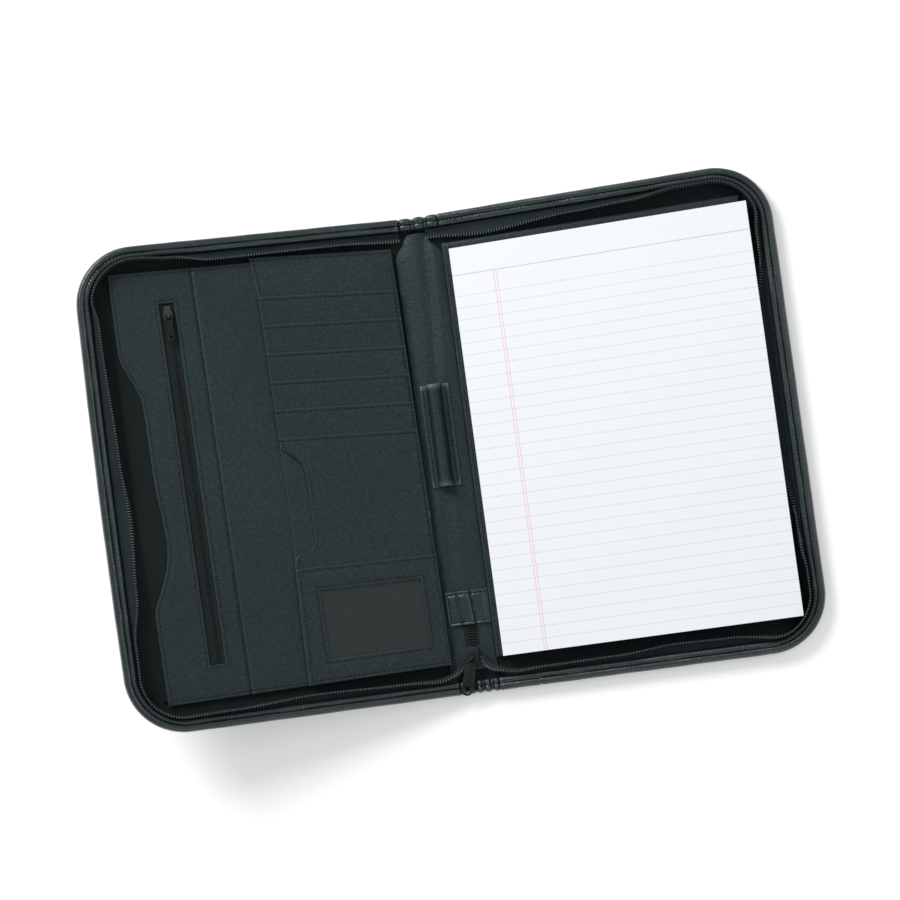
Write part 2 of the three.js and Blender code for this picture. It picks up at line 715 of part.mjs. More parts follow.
// Pen loop: a strip sewn down along both edges with a tube of leather standing on it
function addPenLoop() {
  const steps = 12;
  const half = penFlange / 2;
  const tube = penTubeWidth / 2;
  const base = (u) => spineTop(u) + gap;
  const outer = [];
  const inner = [];
  for (let i = 0; i <= 6; i += 1) {
    const u = penCentre - half + (penFlange * i) / 6;
    outer.push([u, base(u)]);
  }
  const floor = base(penCentre) + leatherThickness;
  outer.push([penCentre + half, base(penCentre + half) + leatherThickness]);
  outer.push([penCentre + tube + 1.2, base(penCentre + tube) + leatherThickness]);
  for (let i = 0; i <= steps; i += 1) {
    const angle = Math.PI * (i / steps);
    const rise = penTubeHeight - leatherThickness;
    const level = Math.max(Math.sin(angle), 0) ** 0.75;
    outer.push([penCentre + tube * Math.cos(angle), floor + 0.4 + (rise - 0.4) * level]);
    inner.push([
      penCentre + (tube - penWall) * Math.cos(angle),
      floor + 0.4 + (rise - penWall - 0.4) * level,
    ]);
  }
  outer.push([penCentre - tube - 1.2, base(penCentre - tube) + leatherThickness]);
  outer.push([penCentre - half, base(penCentre - half) + leatherThickness]);
  const rings = [outer, inner];
  const flat = rings.flat();
  const points = [penTop - penLength, penTop].flatMap((v) => flat.map(([u, h]) => lay(u, v, h)));
  const count = flat.length;
  const faces = [];
  for (const [a, b, c] of triangles(outer, [inner])) {
    faces.push([a, c, b], [a + count, b + count, c + count]);
  }
  for (let i = 0; i < outer.length; i += 1) {
    const b = (i + 1) % outer.length;
    faces.push([i, b, b + count], [i, b + count, i + count]);
  }
  const sameTurn = Math.sign(signedArea(outer)) === Math.sign(signedArea(inner));
  for (let i = 0; i < inner.length; i += 1) {
    const first = outer.length + i;
    const second = outer.length + ((i + 1) % inner.length);
    const [a, b] = sameTurn ? [second, first] : [first, second];
    faces.push([a, b, b + count], [a, b + count, a + count]);
  }
  addBody('pen_loop', points, faces, 'leather');
}

// A place on the organizer, by millimetres from its left edge and down from its top
function onOrganizer(across, down) {
  const t = across / organizerWidth;
  const s = down / organizerHeight;
  const top = organizerTop - topDip * t;
  const foot = organizerTop - organizerHeight + footRise * t;
  return [organizerLeft + across + organizerLean * s, top + (foot - top) * s];
}

function organizerOutline(points) {
  return points.map(([across, down]) => onOrganizer(across, down));
}

const foot = organizerHeight;
const right = organizerWidth;

function addDocumentPocket() {
  addPanel(
    'document_pocket_back',
    organizerOutline([[-backEdge, 3], [right - 2, 3], [right - 2, foot - 3], [-backEdge, foot - 3]]),
    [],
    () => backLevel,
    pocketBackThickness,
    'lining',
  );
  const edge = sCurve.map(({ down, depth }) => [depth * sCurveDepth, down * foot]).reverse();
  const slit = [
    [slitCentre - slitWidth / 2, slitTop],
    [slitCentre + slitWidth / 2, slitTop],
    [slitCentre + slitWidth / 2, slitTop + slitLength],
    [slitCentre - slitWidth / 2, slitTop + slitLength],
  ];
  addPanel(
    'document_panel',
    organizerOutline([[2, 0], [right, 0], [right, foot], [1, foot], [0, foot - 1], ...edge, [0, 2]]),
    [organizerOutline(slit)],
    () => documentLevel,
    leatherThickness,
    'leather',
  );
}

function strip(centre, width, top, length) {
  return organizerOutline([
    [centre - width / 2, top],
    [centre + width / 2, top],
    [centre + width / 2, top + length],
    [centre - width / 2, top + length],
  ]);
}

// Zip pull: a flat tab with an eye at the hinge and a round hole in its rounded end. Its hinge
// bar is at the origin and it hangs towards -Y.
function pullGeometry(length, width) {
  const bar = pullThickness / 2;
  const end = width / 2;
  const neck = eyeWidth / 2 + 1.1;
  const shape = new THREE.Shape();
  shape.moveTo(-neck, bar);
  shape.lineTo(-neck, -pullNeck);
  shape.lineTo(-end * 0.86, -pullShoulder);
  shape.lineTo(-end, -length + bar + end);
  shape.absarc(0, -length + bar + end, end, Math.PI, 2 * Math.PI, false);
  shape.lineTo(end * 0.86, -pullShoulder);
  shape.lineTo(neck, -pullNeck);
  shape.lineTo(neck, bar);
  shape.closePath();
  const slot = loopInside + loopWall;
  const eye = new THREE.Path();
  eye.moveTo(-eyeWidth / 2, -bar);
  eye.lineTo(eyeWidth / 2, -bar);
  eye.lineTo(eyeWidth / 2, -slot * Math.SQRT2 - gap);
  eye.lineTo(-eyeWidth / 2, -slot * Math.SQRT2 - gap);
  eye.closePath();
  const hole = new THREE.Path();
  hole.absarc(0, -length + bar + end, pullHole * (width / pullWidth), 0, 2 * Math.PI, true);
  shape.holes.push(eye, hole);
  const geometry = new THREE.ExtrudeGeometry(shape, {
    depth: pullThickness,
    bevelEnabled: false,
    curveSegments: 8,
  });
  geometry.translate(0, 0, -pullThickness / 2);
  return geometry;
}

function toSolid(geometry) {
  const bare = new THREE.BufferGeometry();
  bare.setAttribute('position', geometry.getAttribute('position').clone());
  if (geometry.index) {
    bare.setIndex(geometry.index.clone());
  }
  const merged = mergeVertices(bare, 1e-4);
  const mesh = new manifold.Mesh({
    numProp: 3,
    vertProperties: new Float32Array(merged.getAttribute('position').array),
    triVerts: new Uint32Array(merged.index.array),
  });
  return new manifold.Manifold(mesh);
}

function toGeometry(solid) {
  const mesh = solid.getMesh();
  const geometry = new THREE.BufferGeometry();
  geometry.setAttribute('position', new THREE.BufferAttribute(new Float32Array(mesh.vertProperties), 3));
  geometry.setIndex(Array.from(mesh.triVerts));
  geometry.computeVertexNormals();
  return geometry;
}

// Slider: a body that flares to its open end, with a loop on top that holds the pull's bar. The
// bar's middle is at the origin and the open end is towards -Y.
function sliderGeometry(length, width, height) {
  const half = width / 2;
  const front = -length / 2 + hingeBack;
  const outline = new THREE.Shape();
  outline.moveTo(-half * 0.62, front + length);
  outline.lineTo(-half * 0.78, front + length * 0.6);
  outline.lineTo(-half, front + length * 0.3);
  outline.lineTo(-half * 0.92, front);
  outline.lineTo(-half * 0.3, front);
  outline.lineTo(0, front + length * 0.12);
  outline.lineTo(half * 0.3, front);
  outline.lineTo(half * 0.92, front);
  outline.lineTo(half, front + length * 0.3);
  outline.lineTo(half * 0.78, front + length * 0.6);
  outline.lineTo(half * 0.62, front + length);
  outline.closePath();
  const body = new THREE.ExtrudeGeometry(outline, { depth: height, bevelEnabled: false });
  body.translate(0, 0, -loopInside - height);
  const outside = loopInside + loopWall;
  const square = (target, size, cut) => {
    target.moveTo(-size + cut, -size);
    target.lineTo(size - cut, -size);
    target.lineTo(size, -size + cut);
    target.lineTo(size, size - cut);
    target.lineTo(size - cut, size);
    target.lineTo(-size + cut, size);
    target.lineTo(-size, size - cut);
    target.lineTo(-size, -size + cut);
    target.closePath();
  };
  const ring = new THREE.Shape();
  square(ring, outside, 0.7);
  const hollow = new THREE.Path();
  square(hollow, loopInside, 0.1);
  ring.holes.push(hollow);
  const loop = new THREE.ExtrudeGeometry(ring, { depth: loopBreadth, bevelEnabled: false });
  loop.translate(0, 0, -loopBreadth / 2);
  loop.rotateX(Math.PI / 2);
  loop.rotateZ(Math.PI / 2);
  return toGeometry(toSolid(body).add(toSolid(loop)));
}

// Slider and pull on the rim's zip, at the foot of the spine
function addRimSlider() {
  const hinge = Math.max(rimHeight, weltHeight) + gap + 0.1 + pullThickness / 2;
  const turn = -THREE.MathUtils.degToRad(sliderTurn);
  const place = lay(sliderU + hingeBack * Math.sin(turn), sliderV - hingeBack * Math.cos(turn), hinge);
  const height = hinge - loopInside - sliderLevel;
  const slider = addMesh('zip_slider', sliderGeometry(sliderLength, sliderWidth, height), 'metal');
  const pull = addMesh('zip_pull', pullGeometry(pullLength, pullWidth), 'metal');
  for (const piece of [slider, pull]) {
    piece.position.copy(place);
    piece.rotation.z = turn;
  }
}

// Zip in the document panel's slit: tape under the leather, teeth in the slit, slider at the top
function addPocketZip() {
  const sliderSpot = slitTop + 2 + pocketSliderLength / 2;
  addPanel(
    'pocket_zip_tape',
    strip(slitCentre, slitTapeWidth, slitTop - slitTapeLap, slitLength + 2 * slitTapeLap),
    [],
    () => slitTapeLevel,
    thinTape,
    'tape',
  );
  const teethTop = sliderSpot + pocketSliderLength / 2 + gap;
  addPanel(
    'pocket_zip_teeth',
    strip(slitCentre, slitTeethWidth, teethTop, slitTop + slitLength - 1 - teethTop),
    [],
    () => documentLevel,
    slitTeethHeight,
    'teeth',
  );
  const hinge = documentLevel + pocketSliderHeight + loopInside;
  const [u, v] = onOrganizer(slitCentre, sliderSpot + hingeBack);
  const down = onOrganizer(slitCentre, slitTop + slitLength);
  const turn = Math.atan2(down[0] - u, v - down[1]);
  const size = [pocketSliderLength, pocketSliderWidth, pocketSliderHeight];
  const slider = addMesh('pocket_zip_slider', sliderGeometry(...size), 'metal');
  const pull = addMesh('pocket_zip_pull', pullGeometry(pocketPullLength, pocketPullWidth), 'metal');
  for (const piece of [slider, pull]) {
    piece.position.copy(lay(u, v, hinge));
    piece.rotation.set(0, tilt, turn, 'YXZ');
  }
}

// Card panel, overlapping slots, side pocket and window pocket, stacked like shingles: each
// one's upper edge stands over the lower edge of the one before
function addCardPanel() {
  const box = (top, height) => [[cardLeft, top], [right, top], [right, top + height], [cardLeft, top + height]];
  addPanel('card_panel', organizerOutline(box(0, foot)), [], () => cardLevel, leatherThickness, 'leather');
  for (let i = 0; i < slotCount; i += 1) {
    const top = firstSlot + slotPitch * i;
    const height = slotPitch + slotLap;
    const name = `card_slot_${i + 1}`;
    addShingle(name, box(top, height), [], top, height, slotLap / height);
  }
  const notch = sideNotch
    .map(({ down, depth }) => [cardLeft + depth * notchDepth, sidePocketTop + notchTop + down * notchHeight])
    .reverse();
  const sideHeight = sidePocketHeight + slotLap;
  addShingle(
    'side_pocket',
    [...box(sidePocketTop, sideHeight), ...notch],
    [],
    sidePocketTop,
    sideHeight,
    slotLap / sideHeight,
  );
  const height = foot - windowPocketTop;
  const left = cardLeft + windowInset;
  const top = windowPocketTop + windowTopEdge;
  const opening = [
    [left, top],
    [left + windowWidth, top],
    [left + windowWidth, top + windowHeight],
    [left, top + windowHeight],
  ];
  addPanel(
    'window_pocket',
    organizerOutline(box(windowPocketTop, height)),
    [organizerOutline(opening)],
    () => slotLevel + slotStep,
    slotThickness,
    'leather',
  );
  addPanel(
    'id_window',
    strip(
      left + windowWidth / 2,
      windowWidth + 2 * windowLap,
      top - windowLap,
      windowHeight + 2 * windowLap,
    ),
    [],
    () => slotLevel + slotStep - gap - windowThickness,
    windowThickness,
    'clear',
  );
}

// A slot strip whose upper part is raised over the strip above and whose foot lies low
function addShingle(name, outline, holes, top, height, lapShare) {
  const [, high] = onOrganizer(cardLeft, top);
  const [, low] = onOrganizer(cardLeft, top + height);
  const level = (u, v) => {
    const t = THREE.MathUtils.clamp((high + 3 - v) / (high + 3 - low), 0, 1);
    return slotLevel + slotStep * Math.max(1 + lapShare - t * (1 + 2 * lapShare), 0);
  };
  addPanel(name, organizerOutline(outline), holes, level, slotThickness, 'leather');
}

// Padded lining that carries the pad, the stitched strip along its edge, board and sheets
function addPad() {
  const level = (height) => () => height;
  const rectangle = (left, low, width, height) => [
    [left, low],
    [left + width, low],
    [left + width, low + height],
    [left, low + height],
  ];
  const start = spineRight + gap;
  const end = halfWidth - padLiningRoom;
  const top = halfHeight - padLiningRoom;
  const liningOutline = rectangle(start, padFoot, end - start, top - padFoot);
  addPanel('pad_lining', liningOutline, [], level(backLevel), padLiningThickness, 'leather');
  const stripOutline = rectangle(start, padFoot, padStripWidth, top - padFoot - 2);
  addPanel('pad_strip', stripOutline, [], level(padBoardLevel), leatherThickness, 'leather');
  const sheet = rectangle(padLeft, padFoot, padWidth, padHeight);
  addPanel('pad_board', sheet, [], level(padBoardLevel), boardThickness, 'board');
  addPanel('pad_paper', sheet, [], level(paperLevel), paperThickness, 'paper');
}

addCover();
addInnerLining();
addWelt('left_welt', -1, puckerReach + gap, puckerReach + gap);
addWelt('right_welt', 1, puckerReach + gap, footSeam + gap);
addSpineWelt('spine_welt_top', 1, -puckerReach, puckerReach);
addSpineWelt('spine_welt_foot', -1, -puckerReach, footSeam);
addZipHalf('left', -1, leftLean, zipTopLeft);
addZipHalf('right', 1, rightLean, zipTopRight);
addSpineLining();
addZipTail();
addEndBand();
addRimSlider();
addPenLoop();
addDocumentPocket();
addPocketZip();
addCardPanel();
addPad();

// The origin is under the middle of the whole piece, on the surface that it lies on
const bounds = new THREE.Box3().setFromObject(portfolio, true);
const middle = bounds.getCenter(new THREE.Vector3());
portfolio.position.set(-middle.x, -middle.y, -bounds.min.z);
portfolio.updateMatrixWorld(true);

export default portfolio;
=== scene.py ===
import math

import bmesh
import bpy
import numpy as np
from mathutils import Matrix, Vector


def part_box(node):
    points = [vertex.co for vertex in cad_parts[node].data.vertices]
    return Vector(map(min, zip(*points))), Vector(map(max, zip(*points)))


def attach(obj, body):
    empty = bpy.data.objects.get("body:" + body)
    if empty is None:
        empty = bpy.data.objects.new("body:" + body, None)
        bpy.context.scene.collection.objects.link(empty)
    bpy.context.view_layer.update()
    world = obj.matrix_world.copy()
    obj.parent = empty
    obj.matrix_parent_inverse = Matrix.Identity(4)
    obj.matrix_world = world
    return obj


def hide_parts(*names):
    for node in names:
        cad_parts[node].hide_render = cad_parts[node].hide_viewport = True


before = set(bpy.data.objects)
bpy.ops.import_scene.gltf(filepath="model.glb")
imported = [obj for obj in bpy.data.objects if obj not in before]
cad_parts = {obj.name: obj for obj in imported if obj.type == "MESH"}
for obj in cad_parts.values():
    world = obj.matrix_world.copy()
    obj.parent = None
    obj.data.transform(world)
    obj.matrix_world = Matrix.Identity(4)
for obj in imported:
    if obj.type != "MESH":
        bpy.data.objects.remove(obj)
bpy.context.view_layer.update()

# Camera
# High above the opened portfolio, a little towards the reader and to the pad's side, and turned
# so that the spine leans to the right on its way down the picture.
camera = bpy.data.objects.new("camera", bpy.data.cameras.new("camera"))
camera.data.sensor_width = 36.0
camera.data.lens = 136.5
camera.location = (0.3035, -0.1515, 2.4386)
camera.rotation_euler = [math.radians(angle) for angle in (2.584, 7.583, -7.671)]
bpy.context.scene.collection.objects.link(camera)
bpy.context.scene.camera = camera

# Table and light
# A plain pale table top under everything. Broad soft lights stand over it, the brightest above
# the top left, with an even pale surround.
table_size = 8.0
floor_mesh = bpy.data.meshes.new("table_top")
floor_signs = ((-1, -1), (1, -1), (1, 1), (-1, 1))
floor_corners = [(x * table_size / 2, y * table_size / 2, -0.0003) for x, y in floor_signs]
floor_mesh.from_pydata(floor_corners, [], [(0, 1, 2, 3)])
floor = bpy.data.objects.new("table_top", floor_mesh)
bpy.context.scene.collection.objects.link(floor)
floor_finish = bpy.data.materials.new("pale_table")
floor_finish.use_nodes = True
floor_shader = floor_finish.node_tree.nodes["Principled BSDF"]
floor_shader.inputs["Base Color"].default_value = (0.96, 0.96, 0.96, 1)
floor_shader.inputs["Roughness"].default_value = 0.9
floor_shader.inputs["Emission Color"].default_value = (1, 1, 1, 1)
floor_shader.inputs["Emission Strength"].default_value = 0.2
floor_mesh.materials.append(floor_finish)

surround = bpy.data.worlds.new("surround")
surround.use_nodes = True
surround.node_tree.nodes["Background"].inputs["Color"].default_value = (0.97, 0.985, 1.0, 1)
surround.node_tree.nodes["Background"].inputs["Strength"].default_value = 0.4
bpy.context.scene.world = surround
bpy.context.scene.view_settings.view_transform = "Standard"

for name, place, size, power in (
    ("soft_key", (-1.0, 1.5, 1.5), 1.3, 45.0),
    ("soft_fill", (1.3, 0.2, 1.6), 1.2, 6.0),
    ("soft_front", (0.1, -1.5, 1.5), 1.0, 5.0),
):
    lamp = bpy.data.objects.new(name, bpy.data.lights.new(name, "AREA"))
    lamp.data.shape = "DISK"
    lamp.data.size = size
    lamp.data.energy = power
    lamp.location = place
    aim = -lamp.location.normalized()
    lamp.rotation_euler = aim.to_track_quat("-Z", "Y").to_euler()
    bpy.context.scene.collection.objects.link(lamp)

# Cover
# The outer shell is one padded sheet: boards and foam inside fine-grained leatherette, rolled up
# and over at its edge into a rim. At the two ends of the spine the rim is gathered into puckers.
half_width = 253.0
half_height = 175.0
corner_radius = 42.0
left_tilt = math.radians(15.0)
fold_start = 14.0
fold_radius = 30.0
top_pinch = 4.0
side_bow = 2.0
bow_start = 200.0
gap = 0.3
spine_right = 14.6
pad_strip_width = 4.8
pad_left = spine_right + gap + pad_strip_width + 2 * gap
pad_foot = -151.0
rim_height = 11.6
rim_width = 4.8
cover_thickness = 2.6
pucker_reach = 15.0
pucker_depth = 2.3
foot_seam = 44.0
paper_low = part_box("pad_paper")[0]
shift = (paper_low.x * 1000 - pad_left, paper_low.y * 1000 - pad_foot)


def lay(u, v, h):
    """Flat places on the opened cover in millimetres, with the left half folded up, in metres."""
    u, v, h = np.broadcast_arrays(*(np.asarray(x, float) for x in (u, v, h)))
    w = np.abs(u)
    y = np.where(v > 0, v * (1 - top_pinch / half_height * (1 - w / half_width)), v)
    near_edge = np.clip((w - bow_start) / (half_width - bow_start), 0, 1)
    past = w + side_bow * (1 - (v / half_height) ** 2) * near_edge - fold_start
    turned = np.minimum(past / fold_radius, left_tilt)
    beyond = np.maximum(past - fold_radius * left_tilt, 0)
    leaning = u < -fold_start
    x = -fold_start - (fold_radius - h) * np.sin(turned) - beyond * np.cos(turned)
    z = fold_radius - (fold_radius - h) * np.cos(turned) + beyond * np.sin(turned)
    x = np.where(leaning, x, u)
    z = np.where(leaning, z, h)
    return np.stack([x + shift[0], y + shift[1], z], axis=-1) / 1000


def add_piece(name, points, faces, flat=None):
    """A smooth closed mesh with its faces outwards; flat gives each point's place for its UV map."""
    mesh = bpy.data.meshes.new(name)
    mesh.from_pydata(np.asarray(points).reshape(-1, 3).tolist(), [], faces)
    if flat is not None:
        corners = np.zeros(len(mesh.loops), int)
        mesh.loops.foreach_get("vertex_index", corners)
        layer = mesh.uv_layers.new(name="flat")
        layer.data.foreach_set("uv", np.asarray(flat, float).reshape(-1, 2)[corners].ravel())
    shell = bmesh.new()
    shell.from_mesh(mesh)
    bmesh.ops.delete(shell, geom=[p for p in shell.verts if not p.link_faces], context="VERTS")
    bmesh.ops.recalc_face_normals(shell, faces=shell.faces)
    shell.to_mesh(mesh)
    shell.free()
    mesh.shade_smooth()
    mesh.set_sharp_from_angle(angle=math.radians(50))
    piece = bpy.data.objects.new(name, mesh)
    bpy.context.scene.collection.objects.link(piece)
    return piece


def settle(piece, finish, slot, *nodes):
    """The piece gets its finish, rides on the portfolio and stands for those nodes."""
    piece.data.materials.clear()
    piece.data.materials.append(finish)
    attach(piece, "portfolio")
    if nodes:
        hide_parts(*nodes)
    return piece


def new_finish(name, colour, roughness, specular=0.5):
    finish = bpy.data.materials.new(name)
    finish.use_nodes = True
    shader = finish.node_tree.nodes["Principled BSDF"]
    shader.inputs["Base Color"].default_value = (*colour, 1)
    shader.inputs["Roughness"].default_value = roughness
    shader.inputs["Specular IOR Level"].default_value = specular
    return finish


def add_node(finish, kind, settings=None, **inputs):
    """A node of that kind; a value is set on its input and another node's output is linked to it."""
    tree = finish.node_tree
    node = tree.nodes.new(kind)
    for key, value in (settings or {}).items():
        setattr(node, key, value)
    for key, value in inputs.items():
        socket = node.inputs[int(key[1:])] if key[0] == "i" and key[1:].isdigit() else node.inputs[key]
        if isinstance(value, bpy.types.NodeSocket):
            tree.links.new(value, socket)
        else:
            socket.default_value = value
    return node


def drive(finish, socket, output):
    shader = finish.node_tree.nodes["Principled BSDF"]
    finish.node_tree.links.new(output, shader.inputs[socket])


def calc(finish, operation, *values):
    """The result of a sum on those numbers or outputs."""
    inputs = {f"i{k}": value for k, value in enumerate(values)}
    return add_node(finish, "ShaderNodeMath", {"operation": operation}, **inputs).outputs[0]


def spread(finish, value, low, high, to_low, to_high):
    """The value with its range from low to high spread over another range."""
    limits = {"From Min": low, "From Max": high, "To Min": to_low, "To Max": to_high}
    return add_node(finish, "ShaderNodeMapRange", Value=value, **limits).outputs[0]


def own_place(finish):
    return add_node(finish, "ShaderNodeTexCoord").outputs["Object"]


def noise(finish, place, scale, detail, output="Fac", **inputs):
    node = add_node(finish, "ShaderNodeTexNoise", Vector=place, Scale=scale, Detail=detail, **inputs)
    return node.outputs[output]


def dyed(finish, colour, tone):
    """The colour, darker or lighter by the tone."""
    settings = {"operation": "SCALE"}
    return add_node(finish, "ShaderNodeVectorMath", settings, i0=colour, Scale=tone).outputs[0]


def mixed(finish, share, below, above):
    """The colour below, with a share of the one above over it."""
    return add_node(finish, "ShaderNodeMix", {"data_type": "RGBA"}, i0=share, i6=below, i7=above).outputs[2]


def emboss(finish, height, strength, depth):
    """The height raised from the surface, over a depth in metres."""
    bump = add_node(finish, "ShaderNodeBump", Strength=strength, Distance=depth, Height=height)
    drive(finish, "Normal", bump.outputs["Normal"])


def leather(name, colour, roughness, specular=0.42, grain=1.3, depth=0.2, wear_and_highlight_tone=0.09):
    """Leatherette: pebbled grain of that size and depth in millimetres, paler on its sharp edges, partly as
    wear and partly as a painted highlight where the light catches them.
    """
    finish = new_finish(name, colour, roughness, specular)
    place = own_place(finish)
    mottle = noise(finish, place, 430.0, 2.0, Roughness=0.6)
    shifted = add_node(
        finish, "ShaderNodeMix", {"data_type": "RGBA", "blend_type": "ADD"},
        i0=0.0006, i6=place, i7=noise(finish, place, 420.0, 2.0, output="Color"),
    )
    pebbles = add_node(
        finish, "ShaderNodeTexVoronoi", {"feature": "SMOOTH_F1"},
        Vector=shifted.outputs[2], Scale=1000 / grain, Smoothness=0.5,
    ).outputs["Distance"]
    pores = noise(finish, place, 2600.0, 3.0)
    fine = calc(finish, "MULTIPLY_ADD", pores, 0.35, pebbles)
    emboss(finish, calc(finish, "MULTIPLY_ADD", mottle, 0.7, fine), 0.75, depth / 1000)
    patches = spread(finish, noise(finish, place, 17.0, 4.0), 0.3, 0.7, 0.84, 1.18)
    flecks = spread(finish, mottle, 0.34, 0.66, 0.62, 1.42)
    pits = spread(finish, pebbles, 0.0, 0.8, 0.8, 1.18)
    tone = calc(finish, "MULTIPLY", calc(finish, "MULTIPLY", patches, flecks), pits)
    # Painted highlight and wear: sharp edges, found by their pointiness, get a paler colour. This is partly
    # real rubbing and partly light caught along the turned edges.
    bend = add_node(finish, "ShaderNodeNewGeometry").outputs["Pointiness"]
    edge_wear_and_highlight = spread(finish, bend, 0.52, 0.6, 0.0, 1.0)
    pale = tuple(2 * c + wear_and_highlight_tone for c in colour)
    drive(finish, "Base Color", mixed(finish, edge_wear_and_highlight, dyed(finish, colour, tone), (*pale, 1)))
    drive(finish, "Roughness", spread(finish, mottle, 0.3, 0.7, roughness + 0.07, roughness - 0.07))
    return finish


def smooth_path(points, steps):
    """A curve through those points, each part of it in that many steps."""
    points = np.asarray(points, float)
    before = np.vstack([2 * points[0] - points[1], points[:-2], points[-2:-1]])[: len(points) - 1]
    after = np.vstack([points[2:], 2 * points[-1] - points[-2]])
    made = []
    for a, b, c, d in zip(before, points[:-1], points[1:], after):
        for t in np.arange(steps) / steps:
            made.append(0.5 * (2 * b + (c - a) * t + (2 * a - 5 * b + 4 * c - d) * t**2
                               + (3 * b - a - 3 * c + d) * t**3))
    return np.array([*made, points[-1]])


def puckered(u, up):
    """How deep the gathers across the spine's ends are: 0 on a crest, up to 1 in a narrow valley.
    There are three broad ones at the top and five at the foot."""
    u = np.asarray(u, float)
    pitch = 2 * pucker_reach / (3 if up > 0 else 5)
    swing = 0.5 + 0.5 * np.cos(2 * math.pi * (u + pucker_reach) / pitch + 0.25 * np.sin(u / 3))
    crease = swing ** (4 if up > 0 else 2)
    return np.where(np.abs(u) >= pucker_reach, 0, 0.75 * crease + 0.25 * swing)


def seam_dent(u, up):
    """Narrow groove where the rim's covering is joined: beside the gathers, and at the foot seam."""
    u = np.asarray(u, float)
    ends = np.where(up > 0, -pucker_reach, foot_seam)
    return np.exp(-(((u - ends) / 0.7) ** 2))


def wave(s):
    """Slight unevenness of a hand-turned edge, in millimetres."""
    return 0.22 * np.sin(s / 13.0 + 1.0) + 0.14 * np.sin(s / 5.3 + 2.1) + 0.1 * np.sin(s / 29.0)


leather_colour = (0.005, 0.016, 0.0167)
rim_leather = leather("rim_leatherette", leather_colour, 0.34, specular=0.68, wear_and_highlight_tone=0.035)
# inset from the edge, level, and how far a gather lowers and draws in that line of the rim
rim_rows = [
    (6.0, 0.0, 0.0, 0.0),
    (2.2, 0.3, 0.0, 0.0),
    (0.5, 1.8, 0.0, 0.2),
    (0.0, 4.0, 0.0, 0.4),
    (0.0, 8.0, 0.5, 0.5),
    (0.7, 10.6, 1.0, 0.4),
    (2.2, 11.6, 1.0, 0.2),
    (3.9, 11.5, 1.0, 0.0),
    (4.65, 11.15, 1.0, 0.0),
    (4.9, 10.8, 1.0, 0.0),
    (4.9, 3.4, 0.0, 0.0),
    (6.2, 2.6, 0.0, 0.0),
]
rim_lines = smooth_path(rim_rows, 3)
rim_lines[:, 1] = np.maximum(rim_lines[:, 1], 0)
corner_steps = 22
corner_w = half_width - corner_radius
corner_v = half_height - corner_radius
side_rows = 64
angles = np.linspace(0, math.pi / 2, corner_steps + 1)
run = np.concatenate([
    np.arange(-corner_w + 5, -62, 5.0),
    np.arange(-60, 60.1, 0.75),
    np.arange(65, corner_w - 4, 5.0),
])


def upper_chain(inset):
    """The cover's edge at an inset, over the top from the left corner to the right one."""
    radius = corner_radius - inset
    left = np.stack([-corner_w - radius * np.cos(angles), corner_v + radius * np.sin(angles)], 1)
    right = left[::-1] * (-1, 1)
    middle = np.stack([run, np.full(len(run), corner_v + radius)], 1)
    return np.vstack([left, middle, right])


def rim_ring(inset, level, drop, draw):
    chain = upper_chain(inset)
    rows = 1 - 2 * np.arange(1, side_rows) / side_rows
    on_run = np.abs(chain[:, 0]) < corner_w
    loops = []
    for up in (1, -1):
        dent = np.where(on_run, puckered(chain[:, 0], up) * pucker_depth, 0)
        seam = np.where(on_run, seam_dent(chain[:, 0], up), 0) * (level > 3)
        uneven = wave(chain[:, 0] * 1.3 + 40 * up) * min(level / rim_height, 1) * (drop > 0)
        v = up * (chain[:, 1] - (dent * draw + seam * 0.5 + uneven * 0.5 * (draw > 0)))
        h = level - dent * drop - seam * 0.5 * (drop > 0) + uneven * (drop > 0)
        loops.append(lay(chain[:, 0], v, np.maximum(h, 0)))
    sides = []
    for edge, rises in ((chain[-1], rows), (chain[0], -rows)):
        v = edge[1] * rises
        uneven = wave(v * 1.1 + 3 * edge[0]) * (drop > 0)
        sides.append(lay(edge[0] - np.sign(edge[0]) * uneven * 0.3, v, np.maximum(level + uneven, 0)))
    return np.vstack([loops[0], sides[0], loops[1][::-1], sides[1]])


def ring_faces(count, size):
    """Quads from each closed ring of points to the next, for that many rings of that size."""
    faces = []
    for i in range(count - 1):
        for j in range(size):
            a, b = i * size + j, i * size + (j + 1) % size
            faces.append((a, b, b + size, a + size))
    return faces


rings = [rim_ring(*line) for line in rim_lines]
ring_size = len(rings[0])
cover_points = [np.vstack(rings)]
cover_faces = ring_faces(len(rings), ring_size)
# The flat faces inside the first and the last ring, as columns from the top edge to the foot
chain_size = len(upper_chain(0))
for k in (0, len(rings) - 1):
    inset, level = rim_lines[k][:2]
    chain = upper_chain(inset)
    rows = 1 - 2 * np.arange(1, side_rows) / side_rows
    inner = lay(chain[1:-1, 0][:, None], chain[1:-1, 1][:, None] * rows, max(level, 0))
    first = sum(len(p) for p in cover_points)
    cover_points.append(inner.reshape(-1, 3))
    ring_start = k * ring_size

    def grid_index(i, j):
        if j == 0:
            return ring_start + i
        if j == side_rows:
            return ring_start + chain_size + (side_rows - 1) + (chain_size - 1 - i)
        if i == chain_size - 1:
            return ring_start + chain_size + j - 1
        if i == 0:
            return ring_start + 2 * chain_size + (side_rows - 1) + (side_rows - 1 - j)
        return first + (i - 1) * (side_rows - 1) + (j - 1)

    for i in range(chain_size - 1):
        for j in range(side_rows):
            cover_faces.append(
                (grid_index(i, j), grid_index(i + 1, j), grid_index(i + 1, j + 1), grid_index(i, j + 1))
            )
cover = add_piece("cover_shell", np.vstack(cover_points), cover_faces)
settle(cover, rim_leather, "leather", "outer_cover")

# Welts
# A folded strip of the same leatherette is sewn inside the rim all round and covers the raw edge.
# It is four strips: one round each half and a short gathered one across each end of the spine.
welt_width = 4.4
welt_height = 11.2
lining_level = cover_thickness + gap
lining_thickness = 0.8
back_level = lining_level + lining_thickness + gap
station_step = 3.0


